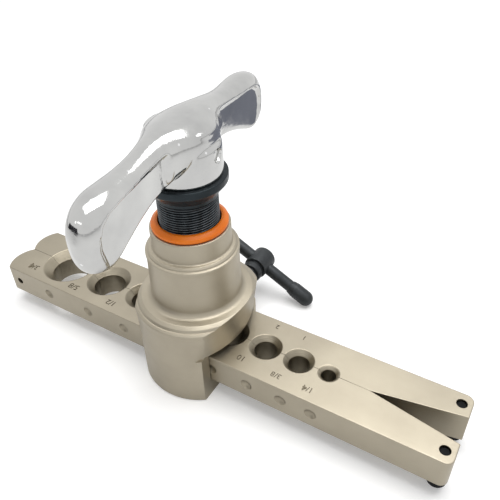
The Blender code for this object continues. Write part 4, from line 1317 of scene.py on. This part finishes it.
BAR_NICKEL = metal(
    "bar_nickel",
    dark=screen(156, 148, 132),
    light=screen(170, 162, 145),
    rough=(0.34, 0.46),
    grain=2600.0,
    patch=28.0,
    bump=0.00003,
    marks=(900.0, 1.0, 0.00002),
)
# Darker than the bar: the bores' own turned finish with its marks, plus painted shade darkening the
# holes, pin holes and dimples.
BORED_SHADED = metal(
    "bored_shaded_nickel",
    dark=screen(132, 125, 110),
    light=screen(160, 152, 135),
    rough=(0.3, 0.42),
    grain=2600.0,
    patch=60.0,
    bump=0.00003,
    marks=(2600.0, 0.0, 0.00012),
)
# Much darker than the bar: painted shade in the stamped strokes.
ENGRAVED_SHADED = metal(
    "engraved_shaded_nickel",
    dark=screen(106, 99, 85),
    light=screen(136, 128, 111),
    rough=(0.4, 0.6),
    grain=3000.0,
    patch=200.0,
    bump=0.00008,
)
YOKE_NICKEL = metal(
    "yoke_nickel",
    dark=screen(162, 154, 138),
    light=screen(177, 169, 152),
    rough=(0.4, 0.5),
    grain=2200.0,
    patch=30.0,
    bump=0.00004,
)
# The edges are painted near white: a painted highlight along the handle's convex edges.
CHROME = metal(
    "cast_chrome",
    dark=screen(184, 184, 183),
    light=screen(202, 202, 200),
    rough=(0.06, 0.15),
    grain=420.0,
    patch=60.0,
    bump=0.00004,
    wear_and_sheen=(0.56, 0.66, screen(235, 235, 235)),
)
BLACK_OXIDE = metal(
    "black_oxide",
    dark=screen(27, 34, 38),
    light=screen(44, 52, 56),
    rough=(0.28, 0.42),
    grain=2600.0,
    patch=90.0,
    bump=0.00003,
    wear_and_sheen=(0.56, 0.68, screen(96, 100, 102)),
    metallic=0.7,
)
# The crests are painted light: partly rubbed wear, partly a painted highlight along the thread's
# crests.
THREAD_BLACK = metal(
    "thread_black",
    dark=screen(12, 18, 23),
    light=screen(24, 32, 38),
    rough=(0.26, 0.38),
    grain=2600.0,
    patch=90.0,
    bump=0.00002,
    wear_and_sheen=(0.52, 0.6, screen(92, 98, 102)),
    metallic=0.6,
)
BLACK_MATT = metal(
    "black_matt",
    dark=screen(36, 39, 41),
    light=screen(52, 55, 57),
    rough=(0.38, 0.52),
    grain=2000.0,
    patch=90.0,
    bump=0.00005,
    wear_and_sheen=(0.54, 0.66, screen(80, 84, 86)),
    metallic=0.5,
)
STUD_BLACK = metal(
    "stud_black",
    dark=screen(10, 11, 12),
    light=screen(22, 23, 25),
    rough=(0.45, 0.6),
    grain=2600.0,
    patch=120.0,
    bump=0.00003,
    metallic=0.0,
    gloss=0.1,
)
BRIGHT_STEEL = metal(
    "bright_steel",
    dark=screen(196, 196, 194),
    light=screen(214, 214, 212),
    rough=(0.12, 0.22),
    grain=3000.0,
    patch=80.0,
    bump=0.00001,
    marks=(2400.0, 0.0, 0.00001),
)
SPRING_STEEL = metal(
    "spring_steel",
    dark=screen(120, 120, 122),
    light=screen(160, 160, 160),
    rough=(0.25, 0.4),
    grain=3000.0,
    patch=120.0,
    bump=0.00002,
)
ORANGE = ring_material()

bar_half("front_bar_dressed", -1, ["front_bar_half"], "bar_front")
bar_half("rear_bar_dressed", 1, ["rear_bar_half"], "bar_rear")
stop_stud("front_stud_dressed", -1, "front_stop_stud", "bar_front")
stop_stud("rear_stud_dressed", 1, "rear_stop_stud", "bar_rear")
yoke()
feed_screw()
wiper_ring()
stop_collar()
flare_cone()
handle()
clamp_screw()
tommy_pieces()
dress_nodes()
table()
room()
lights()
camera()
